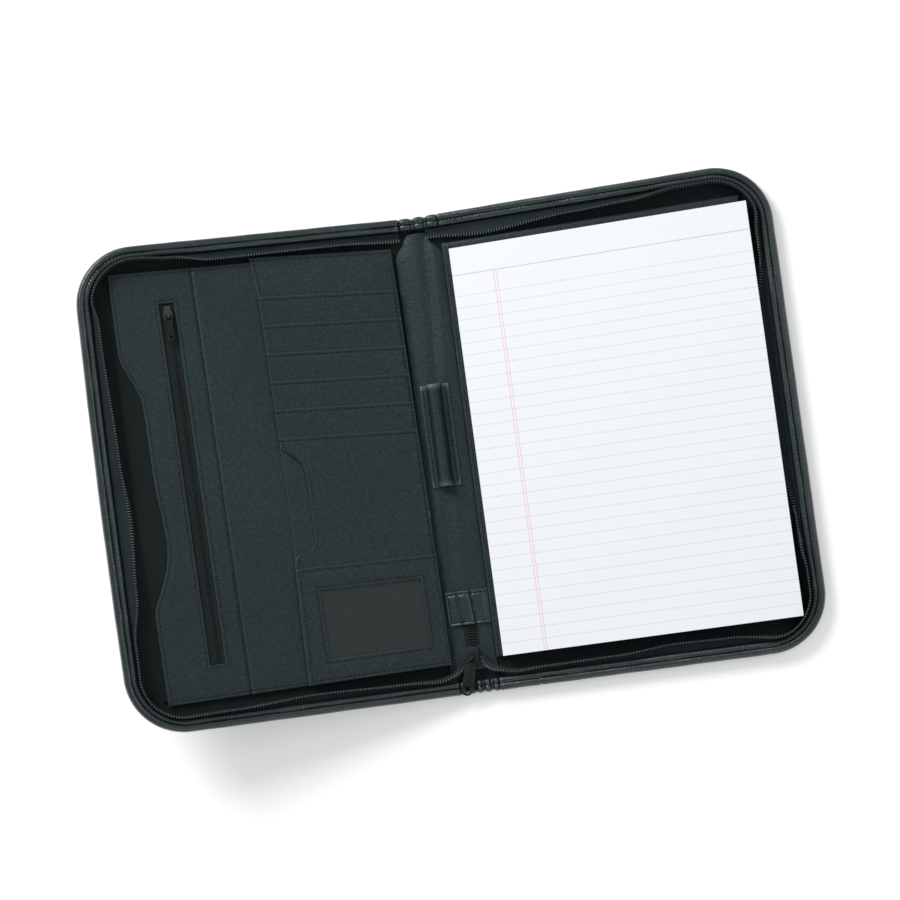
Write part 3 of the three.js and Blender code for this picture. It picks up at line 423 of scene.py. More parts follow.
def rim_stations(inset, start, end, step):
    """Places round one half's rim, from the top of the spine to its foot: distance from the
    spine's middle, height up the page, and the direction inwards."""
    radius = corner_radius - inset
    top = corner_v + radius
    made = []

    def straight(w0, v0, w1, v1, inward):
        count = max(int(math.hypot(w1 - w0, v1 - v0) / step), 1)
        for t in np.arange(count) / count:
            made.append((w0 + (w1 - w0) * t, v0 + (v1 - v0) * t, *inward))

    def corner(centre_v, turn):
        count = max(int(radius * math.pi / 2 / step), 10)
        for t in np.arange(count) / count:
            angle = turn - t * math.pi / 2
            c, s = math.cos(angle), math.sin(angle)
            made.append((corner_w + radius * c, centre_v + radius * s, -c, -s))

    straight(start, top, corner_w, top, (0, -1))
    corner(corner_v, math.pi / 2)
    straight(corner_w + radius, corner_v, corner_w + radius, -corner_v, (-1, 0))
    corner(-corner_v, 0)
    straight(corner_w, -top, end, -top, (0, 1))
    made.append((end, -top, 0, 1))
    return np.array(made)


def loft(name, sections, flat=None):
    """A closed body through sections of equal count, each a closed ring of points."""
    sections = np.asarray(sections)
    count, size = sections.shape[:2]
    ends = [tuple(range(size)), tuple(range((count - 1) * size, count * size))]
    return add_piece(name, sections, ring_faces(count, size) + ends, flat)


def welt_ring(dent=0.0):
    near = rim_width + gap
    top = welt_height - dent
    rows = [
        (near, back_level), (near - 0.1, top - 1.0), (near + 0.1, top - 0.55), (near + 0.7, top - 0.15),
        (near + 2.0, top), (near + 3.3, top - 0.35), (near + 4.15, top - 1.3),
        (near + welt_width, top - 2.8), (near + welt_width, back_level),
    ]
    return smooth_path(rows, 2)


for name, side, start, end in (
    ("left_welt", -1, pucker_reach + gap, pucker_reach + gap),
    ("right_welt", 1, pucker_reach + gap, foot_seam + gap),
):
    stations = rim_stations(0, start, end, station_step)
    sections = []
    for i, (w, v, in_w, in_v) in enumerate(stations):
        ring = welt_ring(0.35 * math.sin(i * 0.41) * math.sin(i * 0.13 + 1))
        sections.append(lay(side * (w + in_w * ring[:, 0]), v + in_v * ring[:, 0], ring[:, 1]))
    settle(loft(f"{name}_roll", sections), rim_leather, "leather", name)
for name, up, stop in (("spine_welt_top", 1, pucker_reach), ("spine_welt_foot", -1, foot_seam)):
    sections = []
    for u in np.arange(-pucker_reach, stop + 0.01, 0.5):
        ring = welt_ring(float(puckered(u, up)) * pucker_depth)
        sections.append(lay(u, up * (half_height - ring[:, 0]), ring[:, 1]))
    settle(loft(f"{name}_roll", sections), rim_leather, "leather", name)

# Stitching
# Black polyester thread runs in straight rows along every sewn edge, a little sunk in the leather.
# Each stitch is a short stretch of thread between two needle holes.
thread_radius = 0.33
stitch_length = 1.8
stitch_pitch = 2.7
thread_sink = 0.12
rim_thread_inset = 0.9
thread_finish = new_finish("black_thread", (0.0028, 0.0044, 0.0047), 0.8, 0.15)
emboss(thread_finish, noise(thread_finish, own_place(thread_finish), 3800.0, 1.0), 0.6, 0.00008)


def row_tree(name, make_link):
    """Geometry Nodes that set one link after another along every line of a mesh of edges."""
    tree = bpy.data.node_groups.new(name, "GeometryNodeTree")
    sockets = {"Geometry": "NodeSocketGeometry", "Pitch": "NodeSocketFloat", "Size": "NodeSocketVector",
               "Wire": "NodeSocketFloat", "Finish": "NodeSocketMaterial"}
    for label, kind in sockets.items():
        tree.interface.new_socket(label, in_out="INPUT", socket_type=kind)
    tree.interface.new_socket("Geometry", in_out="OUTPUT", socket_type="NodeSocketGeometry")
    given = tree.nodes.new("NodeGroupInput")
    result = tree.nodes.new("NodeGroupOutput")
    lines = tree.nodes.new("GeometryNodeMeshToCurve")
    places = tree.nodes.new("GeometryNodeCurveToPoints")
    places.mode = "LENGTH"
    along = tree.nodes.new("FunctionNodeAlignRotationToVector")
    along.axis = "Z"
    aside = tree.nodes.new("GeometryNodeInputNamedAttribute")
    aside.data_type = "FLOAT_VECTOR"
    aside.inputs["Name"].default_value = "aside"
    turned = tree.nodes.new("FunctionNodeAlignRotationToVector")
    turned.axis = "X"
    turned.pivot_axis = "Z"
    copies = tree.nodes.new("GeometryNodeInstanceOnPoints")
    real = tree.nodes.new("GeometryNodeRealizeInstances")
    smooth = tree.nodes.new("GeometryNodeSetShadeSmooth")
    painted = tree.nodes.new("GeometryNodeSetMaterial")
    link = make_link(tree, given)
    for start, end in (
        (given.outputs["Geometry"], lines.inputs["Mesh"]),
        (lines.outputs["Curve"], places.inputs["Curve"]),
        (given.outputs["Pitch"], places.inputs["Length"]),
        (places.outputs["Tangent"], along.inputs["Vector"]),
        (places.outputs["Points"], copies.inputs["Points"]),
        (link, copies.inputs["Instance"]),
        (along.outputs["Rotation"], turned.inputs["Rotation"]),
        (aside.outputs["Attribute"], turned.inputs["Vector"]),
        (turned.outputs["Rotation"], copies.inputs["Rotation"]),
        (given.outputs["Size"], copies.inputs["Scale"]),
        (copies.outputs["Instances"], real.inputs["Geometry"]),
        (real.outputs["Geometry"], smooth.inputs["Geometry"]),
        (smooth.outputs["Geometry"], painted.inputs["Geometry"]),
        (given.outputs["Finish"], painted.inputs["Material"]),
        (painted.outputs["Geometry"], result.inputs["Geometry"]),
    ):
        tree.links.new(start, end)
    return tree


def stitch_link(tree, given):
    ball = tree.nodes.new("GeometryNodeMeshUVSphere")
    ball.inputs["Segments"].default_value = 7
    ball.inputs["Rings"].default_value = 5
    ball.inputs["Radius"].default_value = 1.0
    return ball.outputs["Mesh"]


stitch_tree = row_tree("stitch_row", stitch_link)


def links_along(name, tree, lines, pitch, size, wire, finish, asides=None):
    """A plain mesh of the tree's links along those lines of points in metres. Each link's first
    direction lies towards its point's direction in asides."""
    points = np.vstack(lines)
    edges = []
    start = 0
    for line in lines:
        edges += [(start + i, start + i + 1) for i in range(len(line) - 1)]
        start += len(line)
    mesh = bpy.data.meshes.new(name)
    mesh.from_pydata(points.tolist(), edges, [])
    aside = mesh.attributes.new("aside", "FLOAT_VECTOR", "POINT")
    ways = np.tile((0.0, 0.0, 1.0), (len(points), 1)) if asides is None else np.vstack(asides)
    aside.data.foreach_set("vector", ways.ravel())
    guide = bpy.data.objects.new(f"{name}_guide", mesh)
    bpy.context.scene.collection.objects.link(guide)
    modifier = guide.modifiers.new("row", "NODES")
    modifier.node_group = tree
    values = {"Pitch": pitch, "Size": size, "Wire": wire, "Finish": finish}
    for socket in tree.interface.items_tree:
        if socket.in_out == "INPUT" and socket.name in values:
            modifier[socket.identifier] = values[socket.name]
    evaluated = guide.evaluated_get(bpy.context.evaluated_depsgraph_get())
    made = bpy.data.meshes.new_from_object(evaluated)
    guide.modifiers.clear()
    bpy.data.objects.remove(guide)
    piece = bpy.data.objects.new(name, made)
    bpy.context.scene.collection.objects.link(piece)
    return piece


def stitches(name, lines, bold=1.0):
    """Rows of stitches; bold ones are thicker and longer by that share."""
    size = tuple(bold * part / 1000 for part in (thread_radius, thread_radius, stitch_length / 2))
    piece = links_along(name, stitch_tree, lines, bold * stitch_pitch / 1000, size, 0.0, thread_finish)
    return settle(piece, thread_finish, "leather")


rim_thread = []
for side, foot in ((-1, pucker_reach), (1, foot_seam)):
    stations = rim_stations(rim_width + rim_thread_inset, pucker_reach + 1, foot + 1, station_step)
    rim_thread.append(lay(side * stations[:, 0], stations[:, 1], welt_height - thread_sink))
stitches("rim_stitches", rim_thread)

# Lining
# Thin black woven cloth is glued over the boards inside both halves and the spine. It shows
# between the rim and the pocket panels, where it lies a little loose.
def cloth(name, colour, thread=0.42, roughness=0.85):
    """Plain woven cloth: two sets of threads of that width in millimetres, crossing over and under."""
    finish = new_finish(name, colour, roughness, 0.25)
    place = own_place(finish)
    parts = add_node(finish, "ShaderNodeSeparateXYZ", Vector=place)
    turns = 2 * math.pi / (2 * thread / 1000)
    crossings = [
        calc(finish, "SINE", calc(finish, "MULTIPLY", parts.outputs[axis], turns)) for axis in ("X", "Y")
    ]
    weave = calc(finish, "MULTIPLY", *crossings)
    height = calc(finish, "ADD", weave, noise(finish, place, 900.0, 3.0))
    emboss(finish, height, 0.6, 0.00015)
    tone = spread(finish, height, -0.8, 1.6, 0.6, 1.4)
    drive(finish, "Base Color", dyed(finish, colour, tone))
    shader = finish.node_tree.nodes["Principled BSDF"]
    shader.inputs["Sheen Weight"].default_value = 0.08
    shader.inputs["Sheen Roughness"].default_value = 0.4
    return finish


def from_sides(a, a_low, a_high, b, b_low, b_high):
    """Distance of each place to the nearest side of a rectangle that it lies in."""
    return np.minimum(np.minimum(a - a_low, a_high - a), np.minimum(b - b_low, b_high - b))


def edge_round(distance, thickness, radius=0.8):
    """How far each face of a sheet turns in towards its middle, by the distance from its edge."""
    inner = np.clip(1 - distance / radius, 0, 1)
    return thickness * 0.46 * (1 - np.sqrt(1 - inner**2))


edge_stretch = 3.8
edge_marks = np.array([0, 0.2, 0.45, 0.8, 1.5, 2.2, 2.9, edge_stretch])


def rulings(start, end, step, near=edge_marks):
    """Places from start to end about a step apart, and close together near both ends."""
    span = end - start - 2 * near[-1]
    middle = np.linspace(start + near[-1], end - near[-1], max(int(round(span / step)), 1) + 1)
    return np.concatenate([start + near[:-1], middle, end - near[:-1][::-1]])


def sheet_mesh(name, u, v, low, high, keep=None, flat=None):
    """A closed sheet from grids of flat places and of its lower and upper level. Cells that keep
    leaves out are holes."""
    rows, columns = u.shape
    count = rows * columns
    low, high = np.broadcast_to(low, u.shape), np.broadcast_to(high, u.shape)
    points = np.vstack([lay(u, v, high).reshape(-1, 3), lay(u, v, low).reshape(-1, 3)])
    keep = np.ones((rows - 1, columns - 1), bool) if keep is None else keep
    there = np.zeros((rows + 1, columns + 1), bool)
    there[1:-1, 1:-1] = keep
    faces = []
    for i, j in zip(*np.nonzero(keep)):
        a = i * columns + j
        b, c, d = a + 1, a + columns + 1, a + columns
        faces.append((d, c, b, a))
        faces.append((a + count, b + count, c + count, d + count))
        beside = ((a, b, i, j + 1), (b, c, i + 1, j + 2), (c, d, i + 2, j + 1), (d, a, i + 1, j))
        for p, q, y, x in beside:
            if not there[y, x]:
                faces.append((p, q, q + count, p + count))
    if flat is None:
        flat = np.stack([u, v], -1) / 1000
    both = np.vstack([np.asarray(flat).reshape(-1, 2)] * 2)
    return add_piece(name, points, faces, both)


def turned_sheet(name, u, v, level, thickness, edge, relief=0, keep=None, radius=0.8):
    """A closed sheet with a rounded edge, by each place's distance from it. Relief is added to its
    upper face."""
    turn = edge_round(edge, thickness, radius)
    return sheet_mesh(name, u, v, level + turn, level + thickness + relief - turn, keep)


lining_cloth = cloth("woven_lining", (0.0052, 0.0102, 0.0107))
lining_inset = rim_width + 2
lining_side = half_width - lining_inset
lining_reach = half_height - lining_inset
lining_corner = corner_radius - lining_inset
lining_rows = 61
corner_turns = np.linspace(0, math.pi / 2, 9)
left_u = -lining_side + lining_corner * (1 - np.cos(corner_turns))
left_v = lining_reach - lining_corner * (1 - np.sin(corner_turns))
lining_run = np.concatenate([
    np.arange(-205, -24, 9.0), np.arange(-22, -13, 2.0), np.arange(-5, 206, 15.0),
])
lining_u = np.concatenate([left_u, lining_run, -left_u[::-1]])
lining_v = np.concatenate([left_v, np.full(len(lining_run), lining_reach), left_v[::-1]])
u_grid = np.broadcast_to(lining_u, (lining_rows, len(lining_u)))
v_grid = np.linspace(1, -1, lining_rows)[:, None] * lining_v
slack = 0.1 * np.sin(u_grid / 9) * np.sin(v_grid / 17 + 1)
lining = sheet_mesh(
    "lining_cloth", u_grid, v_grid, lining_level + slack, lining_level + lining_thickness + slack,
)
settle(lining, lining_cloth, "lining", "inner_lining")

# Zip tapes
# Woven polyester tape is sewn between the rim and the welt all round. Opened flat it stands up at
# the corners, leans in along the sides, and on the right slips under the edge of the pad.
zip_tape_width = 9.0
zip_root_height = 7.6
tape_thickness = 0.8
tooth_radius = 1.05
zip_starts = {"left": 16.0, "right": 4.0}
zip_free = 34.0
zip_foot = half_height - 22.5
slack_limit = 2.2
slider_width = 9.4
slider_u = -1.5
# share of the way round, and how far the tape stands in and up, as shares of its width
left_lean = np.array([
    (0.0, 0.65, 0.1), (0.06, 0.57, 0.6), (0.18, 0.62, 0.55), (0.22, 0.2, 0.9), (0.25, 0.0, 0.98),
    (0.31, 0.02, 0.97), (0.335, 0.39, 0.85), (0.46, 0.68, 0.6), (0.52, 0.94, 0.2), (0.59, 0.68, 0.6),
    (0.635, 0.14, 0.95), (0.71, 0.0, 0.98), (0.77, 0.12, 0.95), (0.85, 0.46, 0.8), (0.93, 0.3, 0.85),
    (0.975, 0.1, 0.75), (1.0, -0.45, 0.15),
])
right_lean = np.array([
    (0.0, 0.65, 0.1), (0.05, 0.95, 0.15), (0.14, 0.57, 0.6), (0.19, 0.46, 0.75), (0.235, 0.02, 0.97),
    (0.315, 0.0, 0.97), (0.34, 0.26, 0.85), (0.36, 0.3, 0.35), (0.375, 0.3, -0.2), (0.4, 0.85, -0.2),
    (0.56, 0.85, -0.2), (0.59, 0.3, -0.2), (0.605, 0.3, 0.35), (0.63, 0.2, 0.9), (0.65, 0.0, 0.995),
    (0.71, 0.0, 0.995), (0.77, 0.57, 0.65), (0.82, 0.65, 0.6), (0.87, 0.35, 0.85), (0.94, 0.3, 0.85),
    (0.975, 0.1, 0.75), (1.0, -0.45, 0.15),
])


def lean_at(rows, share):
    i = int(np.clip(np.searchsorted(rows[:, 0], share) - 1, 0, len(rows) - 2))
    t = np.clip((share - rows[i, 0]) / (rows[i + 1, 0] - rows[i, 0]), 0, 1)
    t = t * t * (3 - 2 * t)
    return rows[i, 1:] * (1 - t) + rows[i + 1, 1:] * t


def tape_cloth(name, colour):
    """Zip tape: fine ribs of thread across its length, from its own UV map in metres."""
    finish = new_finish(name, colour, 0.8, 0.3)
    place = add_node(finish, "ShaderNodeUVMap", {"uv_map": "flat"}).outputs["UV"]
    parts = add_node(finish, "ShaderNodeSeparateXYZ", Vector=place)
    diagonal = calc(finish, "ADD", parts.outputs["X"], parts.outputs["Y"])
    rib = calc(finish, "SINE", calc(finish, "MULTIPLY", diagonal, 9000.0))
    warp = calc(finish, "SINE", calc(finish, "MULTIPLY", parts.outputs["X"], 7000.0))
    height = calc(finish, "ADD", rib, warp)
    emboss(finish, height, 0.7, 0.00012)
    tone = spread(finish, height, -2.0, 2.0, 0.6, 1.5)
    drive(finish, "Base Color", dyed(finish, colour, tone))
    return finish


# The rim tapes use the paler tape cloth. The zip's tail and the pocket zip use a darker copy of it, painted
# shade.
tape_finish = tape_cloth("zip_tape_cloth", (0.0112, 0.0212, 0.022))
shaded_tape_finish = tape_cloth("shaded_tape_cloth", (0.0055, 0.0108, 0.0113))
teeth_lines, teeth_ways = {}, {}
tape_step = 2.6
turn_steps = 14
for name, side, lean_rows in (("left", -1, left_lean), ("right", 1, right_lean)):
    root = rim_width + gap + welt_width + gap + tape_thickness / 2
    stations = rim_stations(root, zip_starts[name], zip_free, tape_step).tolist()
    # The free end turns from the foot of the rim up to the slider
    start_v = -(half_height - root)
    end_w = side * slider_u + slider_width / 2 + zip_tape_width * 0.45 + 0.8
    first, last = np.array([zip_free, start_v]), np.array([end_w, 3.5 - zip_foot])
    corner_point = np.array([end_w + 2, start_v + 2])
    for t in np.arange(1, turn_steps + 1) / turn_steps:
        spot = (1 - t) ** 2 * first + 2 * t * (1 - t) * corner_point + t**2 * last
        way = 2 * (1 - t) * (corner_point - first) + 2 * t * (last - corner_point)
        way /= np.linalg.norm(way)
        stations.append((*spot, way[1], -way[0]))
    stations = np.array(stations)
    steps = np.hypot(*np.diff(stations[:, :2], axis=0).T)
    lengths = np.concatenate([[0], np.cumsum(steps)])
    sections, flats, tips, tip_ways = [], [], [], []
    for (w, v, in_w, in_v), length in zip(stations, lengths):
        lean = lean_at(lean_rows, length / lengths[-1])
        reach = lean * zip_tape_width
        chord = np.linalg.norm(reach)
        slack = min(math.sqrt(max(zip_tape_width**2 - chord**2, 0)) / 2, slack_limit)
        slack += 0.12 * math.sin(length / 4.7) * math.sin(length / 17 + 1)
        start = np.array([0, zip_root_height])
        bend = start + reach / 2 + np.array([reach[1], -reach[0]]) / chord * slack
        tip = start + reach
        pull = 2 * bend - (start + tip) / 2
        t = np.linspace(0, 1, 8)[:, None]
        line = (1 - t) ** 2 * start + 2 * t * (1 - t) * pull + t**2 * tip
        way = 2 * (1 - t) * (pull - start) + 2 * t * (tip - pull)
        way /= np.linalg.norm(way, axis=1)[:, None]
        normal = np.stack([-way[:, 1], way[:, 0]], 1)
        half_tape = tape_thickness / 2 * 0.8
        ring = np.vstack([line + normal * half_tape, (line - normal * half_tape)[::-1]])
        sections.append(lay(side * (w + in_w * ring[:, 0]), v + in_v * ring[:, 0], ring[:, 1]))
        across = np.concatenate([t[:, 0], t[::-1, 0]]) * zip_tape_width
        flats.append(np.stack([across, np.full(len(across), length)], 1) / 1000)
        way_out = (tip - bend) / np.linalg.norm(tip - bend)
        near_spot, far_spot = (
            lay(side * (w + in_w * spot[0]), v + in_v * spot[0], spot[1])
            for spot in (tip + way_out * tooth_radius * 0.6, tip + way_out * tooth_radius)
        )
        tips.append(near_spot)
        tip_ways.append(far_spot - near_spot)
    tape = loft(f"rim_tape_{name}", sections, flats)
    settle(tape, tape_finish, "zip_tape", f"zip_tape_{name}")
    teeth_lines[name] = np.array(tips)
    teeth_ways[name] = np.array(tip_ways)

# Zip teeth
# A coil of black nylon line is sewn along the free edge of each tape. Every turn of it is one
# tooth, shown as a fine pale tick: the rim coils' nylon is coloured pale grey, a painted highlight.
coil_pitch = 2.0
coil_wire = 0.28
coil_length = 1.5
coil_height = 0.85


def nylon(name, colour, roughness, specular):
    """Nylon line whose tone and gloss vary a little along it."""
    finish = new_finish(name, colour, roughness, specular)
    marks = noise(finish, own_place(finish), 260.0, 2.0)
    drive(finish, "Roughness", spread(finish, marks, 0.3, 0.7, roughness - 0.08, roughness + 0.08))
    drive(finish, "Base Color", dyed(finish, colour, spread(finish, marks, 0.3, 0.7, 0.9, 1.1)))
    return finish


# Two copies of the same black nylon. The pale one is a painted highlight for the open rim coils. The dark one
# is painted shade for the closed coils of the tail and the pocket zip.
highlit_nylon_finish = nylon("nylon_coil", (0.17, 0.195, 0.197), 0.34, 0.45)
shaded_nylon = nylon("shaded_nylon_coil", (0.028, 0.036, 0.037), 0.4, 0.4)


def coil_link(tree, given):
    ring = tree.nodes.new("GeometryNodeCurvePrimitiveCircle")
    ring.inputs["Resolution"].default_value = 9
    ring.inputs["Radius"].default_value = 1.0
    wire = tree.nodes.new("GeometryNodeCurvePrimitiveCircle")
    wire.inputs["Resolution"].default_value = 5
    solid = tree.nodes.new("GeometryNodeCurveToMesh")
    tree.links.new(given.outputs["Wire"], wire.inputs["Radius"])
    tree.links.new(ring.outputs["Curve"], solid.inputs["Curve"])
    tree.links.new(wire.outputs["Curve"], solid.inputs["Profile Curve"])
    return solid.outputs["Mesh"]


coil_tree = row_tree("coil_row", coil_link)
for name, line in teeth_lines.items():
    size = tuple((part - coil_wire) / 1000 for part in (coil_length, coil_height, coil_height))
    coil = links_along(
        f"rim_coil_{name}", coil_tree, [line], coil_pitch / 1000, size, coil_wire / coil_height, highlit_nylon_finish,
        [teeth_ways[name]],
    )
    settle(coil, highlit_nylon_finish, "zip_teeth", f"zip_teeth_{name}")

# Spine lining
# A soft strip of leatherette covers the spine between the two halves. It is cut a little wide, so
# it bulges and lies in long folds, and its top end is drawn in towards the gathers.
spine_left = -21.5
spine_end = half_height - 17.0
spine_tuck = 5.0
spine_thickness = 1.4
spine_bulge = 1.6
panel_leather = leather("panel_leatherette", leather_colour, 0.5, specular=0.36)


def spine_top(u):
    """Level of the spine lining's upper face across the spine."""
    t = np.clip((np.asarray(u, float) - spine_left) / (spine_right - spine_left), 0, 1)
    return back_level + spine_thickness + spine_bulge * np.sin(math.pi * t)


rows_v = rulings(-spine_end, spine_end + spine_tuck, 3.5)[::-1]
across_u = rulings(spine_left, spine_right, 0.9)
# height up the spine, and share by which its width is drawn in there
spine_narrowing = np.array([
    (-spine_end, 0.0), (spine_end - 12, 0.0), (spine_end - 7, 0.17), (spine_end - 3, 0.38),
    (spine_end + spine_tuck, 0.63),
])
# height up the spine, and where the long fold's valley runs across it
spine_valley = np.array([(-158, -10.5), (-90, -9.5), (-30, -7), (60, -2), (120, 1.1), (160, 1.1)])
# height up the spine, and how loose it lies there, as a share
spine_loose = np.array([
    (-95, 0.5), (-50, 0.8), (-27, 0.6), (-20, 0), (47, 0), (54, 0.6), (90, 1.0),
])
narrow = np.interp(rows_v, *spine_narrowing.T)
u_grid = across_u + ((spine_left + spine_right) / 2 - across_u) * narrow[:, None]
v_grid = np.broadcast_to(rows_v[:, None], u_grid.shape)
edge = from_sides(
    across_u[None, :], spine_left, spine_right, rows_v[:, None], -spine_end, spine_end + spine_tuck,
)
past_valley = u_grid - np.interp(v_grid, *spine_valley.T)
folds = -1.4 * np.exp(-((past_valley / 3.0) ** 2)) + 0.7 * np.exp(-(((past_valley - 8) / 3.5) ** 2))
folds = folds * np.interp(v_grid, *spine_loose.T) * np.clip(edge / 5, 0, 1)
high = spine_top(across_u) + folds + 0.1 * np.sin(v_grid / 9) * np.clip(edge / 4, 0, 1)
turn = edge_round(edge, spine_thickness)
spine = sheet_mesh(
    "spine_lining_strip", u_grid, v_grid,
    np.maximum(spine_top(across_u) - spine_thickness + folds, back_level) + turn, high - turn,
)
settle(spine, panel_leather, "leather", "spine_lining")

# Pen loop
# A strip of leatherette is sewn down along both its long edges in the middle of the spine, with
# its middle left standing as a tube that holds a pen.
pen_top = 50.0
pen_length = 75.0
pen_centre = -4.5
pen_flange = 21.0
pen_tube_width = 10.6
pen_tube_height = 10.4
pen_wall = 1.0
leather_thickness = 1.2
thin_tape = 0.5
pen_stitch_inset = 2.2
half_flange = pen_flange / 2
half_tube = pen_tube_width / 2
# where the flange's upper face bends, how far beyond that, and its height there as a share
flange_line = (
    (half_flange, 0.0, 0.8), (half_flange, -0.5, 1.0), (half_tube, 1.8, 0.8), (half_tube, 0.6, 1.0),
)


def pen_rings(swell):
    """The sleeve's outer and inner lines across the spine, its tube swollen by that much."""

    def base(u):
        return float(spine_top(u)) + gap

    floor_level = base(pen_centre) + leather_thickness
    rise = pen_tube_height - leather_thickness
    outer, inner = [], []
    for u in np.linspace(pen_centre - half_flange, pen_centre + half_flange, 7):
        outer.append((u, base(u)))
    for at, beyond, share in flange_line:
        outer.append((pen_centre + at + beyond, base(pen_centre + at) + leather_thickness * share))
    for angle in np.linspace(0, math.pi, 25):
        level = max(math.sin(angle), 0) ** 0.75
        side = math.cos(angle)
        outer.append((pen_centre + half_tube * side, floor_level + 0.5 + (rise - 0.5 + swell) * level))
        inner.append((
            pen_centre + (half_tube - pen_wall) * side,
            floor_level + 0.4 + (rise - pen_wall - 0.4 + swell) * level,
        ))
    for at, beyond, share in reversed(flange_line):
        outer.append((pen_centre - at - beyond, base(pen_centre - at) + leather_thickness * share))
    return np.array(outer), np.array(inner)


shell = bmesh.new()
previous = None
for v in np.linspace(pen_top - pen_length, pen_top, 26):
    share = (pen_top - v) / pen_length
    swell = -0.35 * math.sin(math.pi * share) + 0.12 * math.sin(9 * share)
    loops = []
    for ring in pen_rings(swell):
        loops.append([shell.verts.new(p) for p in lay(ring[:, 0], v, ring[:, 1])])
    if previous is None:
        first_loops = loops
    else:
        for before, after in zip(previous, loops):
            for j in range(len(after)):
                k = (j + 1) % len(after)
                shell.faces.new((before[j], before[k], after[k], after[j]))
    previous = loops
for loops in (first_loops, previous):
    rim_edges = []
    for ring in loops:
        for j in range(len(ring)):
            pair = (ring[j], ring[(j + 1) % len(ring)])
            rim_edges.append(shell.edges.get(pair) or shell.edges.new(pair))
    bmesh.ops.triangle_fill(shell, edges=rim_edges, use_beauty=True)
bmesh.ops.recalc_face_normals(shell, faces=shell.faces)
pen_mesh = bpy.data.meshes.new("pen_sleeve")
shell.to_mesh(pen_mesh)
shell.free()
pen_mesh.shade_smooth()
pen_sleeve = bpy.data.objects.new("pen_sleeve", pen_mesh)
bpy.context.scene.collection.objects.link(pen_sleeve)
settle(pen_sleeve, panel_leather, "leather", "pen_loop")
pen_thread = []
for u in (pen_centre - half_flange + pen_stitch_inset, pen_centre + half_flange - pen_stitch_inset):
    v = np.linspace(pen_top - 1.5, pen_top - pen_length + 1.5, 20)
    pen_thread.append(lay(u, v, spine_top(u) + gap + leather_thickness + 0.02))
stitches("pen_loop_stitches", pen_thread)

# End band and the zip's tail
# The two tapes run out side by side with their coils closed, under a leatherette band that is sewn
# across the foot of the spine and rises over them.
band_depth = 24.5
band_top = 49.5 + band_depth - half_height
band_lean = 0.075
band_stitch_inset = 2.2
slider_length = 10.5
slider_v = 28.0 - half_height
tail_centre = slider_u
band_left = spine_left + 4
band_right = spine_right - gap
coil_rise = 2.2


def band_level(u, v):
    """Underside of the end band: it lies on the spine lining, and swells over the zip's tail
    softly from the left and steeply on the right. The swelling leans a little to the right."""
    u = u - (band_top - v) * band_lean + 1
    beside = spine_top(u) + thin_tape + 0.35
    crest = float(spine_top(tail_centre)) + thin_tape + coil_rise + 0.3
    left = np.clip((tail_centre - 2.2 - u) / 6.5, 0, 1)
    right = np.clip((u - tail_centre - 2.4) / 2.6, 0, 1)
    rise = (1 - left * left * (3 - 2 * left)) * (1 - right * right * (3 - 2 * right))
    groove = 0.6 * np.exp(-(((u - tail_centre - 4.6) / 0.9) ** 2))
    return beside + (crest - beside) * rise - groove


u_grid, v_grid = np.meshgrid(
    rulings(band_left, band_right, 0.7), rulings(band_top - band_depth, band_top, 1.2)[::-1],
)
edge = from_sides(u_grid, band_left, band_right, v_grid, band_top - band_depth, band_top)
dent = -0.55 * np.exp(-(((edge - band_stitch_inset) / 0.8) ** 2))
band = turned_sheet(
    "end_band", u_grid, v_grid, band_level(u_grid, v_grid), leather_thickness, edge, dent,
)
band_leather = leather("band_leatherette", leather_colour, 0.36, specular=0.55)
settle(band, band_leather, "leather", "zip_end_band")
band_thread = []
for v in (band_top - band_stitch_inset, band_top - band_depth + band_stitch_inset):
    u = np.linspace(band_left + 1.5, band_right - 1.5, 30)
    band_thread.append(lay(u, v, band_level(u, v) + leather_thickness - 0.4))
stitches("end_band_stitches", band_thread, 1.25)

tail_foot = slider_v + slider_length / 2 + 1.4
tail_half_width = 5.0
tail_coil_offset = 1.25
tail_points = 20
u_grid, v_grid = np.meshgrid(
    rulings(tail_centre - tail_half_width, tail_centre + tail_half_width, 1.0),
    rulings(tail_foot, band_top - 4, 2.0)[::-1],
)
edge = np.minimum(tail_half_width - np.abs(u_grid - tail_centre), v_grid - tail_foot)
tail = turned_sheet("zip_tail_tape", u_grid, v_grid, spine_top(u_grid) + 0.15, thin_tape, edge)
settle(tail, shaded_tape_finish, "zip_tape", "zip_tail")
tail_coils, tail_ways = [], []
tail_coil_level = float(spine_top(tail_centre)) + thin_tape + coil_rise / 2
for side in (-1, 1):
    v = np.linspace(band_top - 6, tail_foot + 0.8, tail_points)
    tail_coils.append(lay(tail_centre + side * tail_coil_offset, v, tail_coil_level))
    tail_ways.append(np.tile((1.0, 0.0, 0.0), (tail_points, 1)))
size = (0.00115, 0.0006, 0.0006)
tail_coil = links_along(
    "zip_tail_coil", coil_tree, tail_coils, coil_pitch / 1000, size, 0.42, shaded_nylon, tail_ways,
)
settle(tail_coil, shaded_nylon, "zip_teeth")

# Sliders and pulls
# Cast zinc sliders with a flat pull tab hung in a loop, all enamelled black. The enamel is satin
# and rubbed a little paler on its edges.
enamel_colour = (0.003, 0.007, 0.0075)
rubbed_enamel = (0.03, 0.038, 0.039, 1)
enamel = new_finish("black_enamel", enamel_colour, 0.42, 0.25)
emboss(enamel, noise(enamel, own_place(enamel), 700.0, 3.0), 0.3, 0.00005)
enamel_bend = add_node(enamel, "ShaderNodeNewGeometry").outputs["Pointiness"]
enamel_edges = spread(enamel, enamel_bend, 0.51, 0.6, 0.0, 1.0)
drive(enamel, "Base Color", mixed(enamel, enamel_edges, (*enamel_colour, 1), rubbed_enamel))


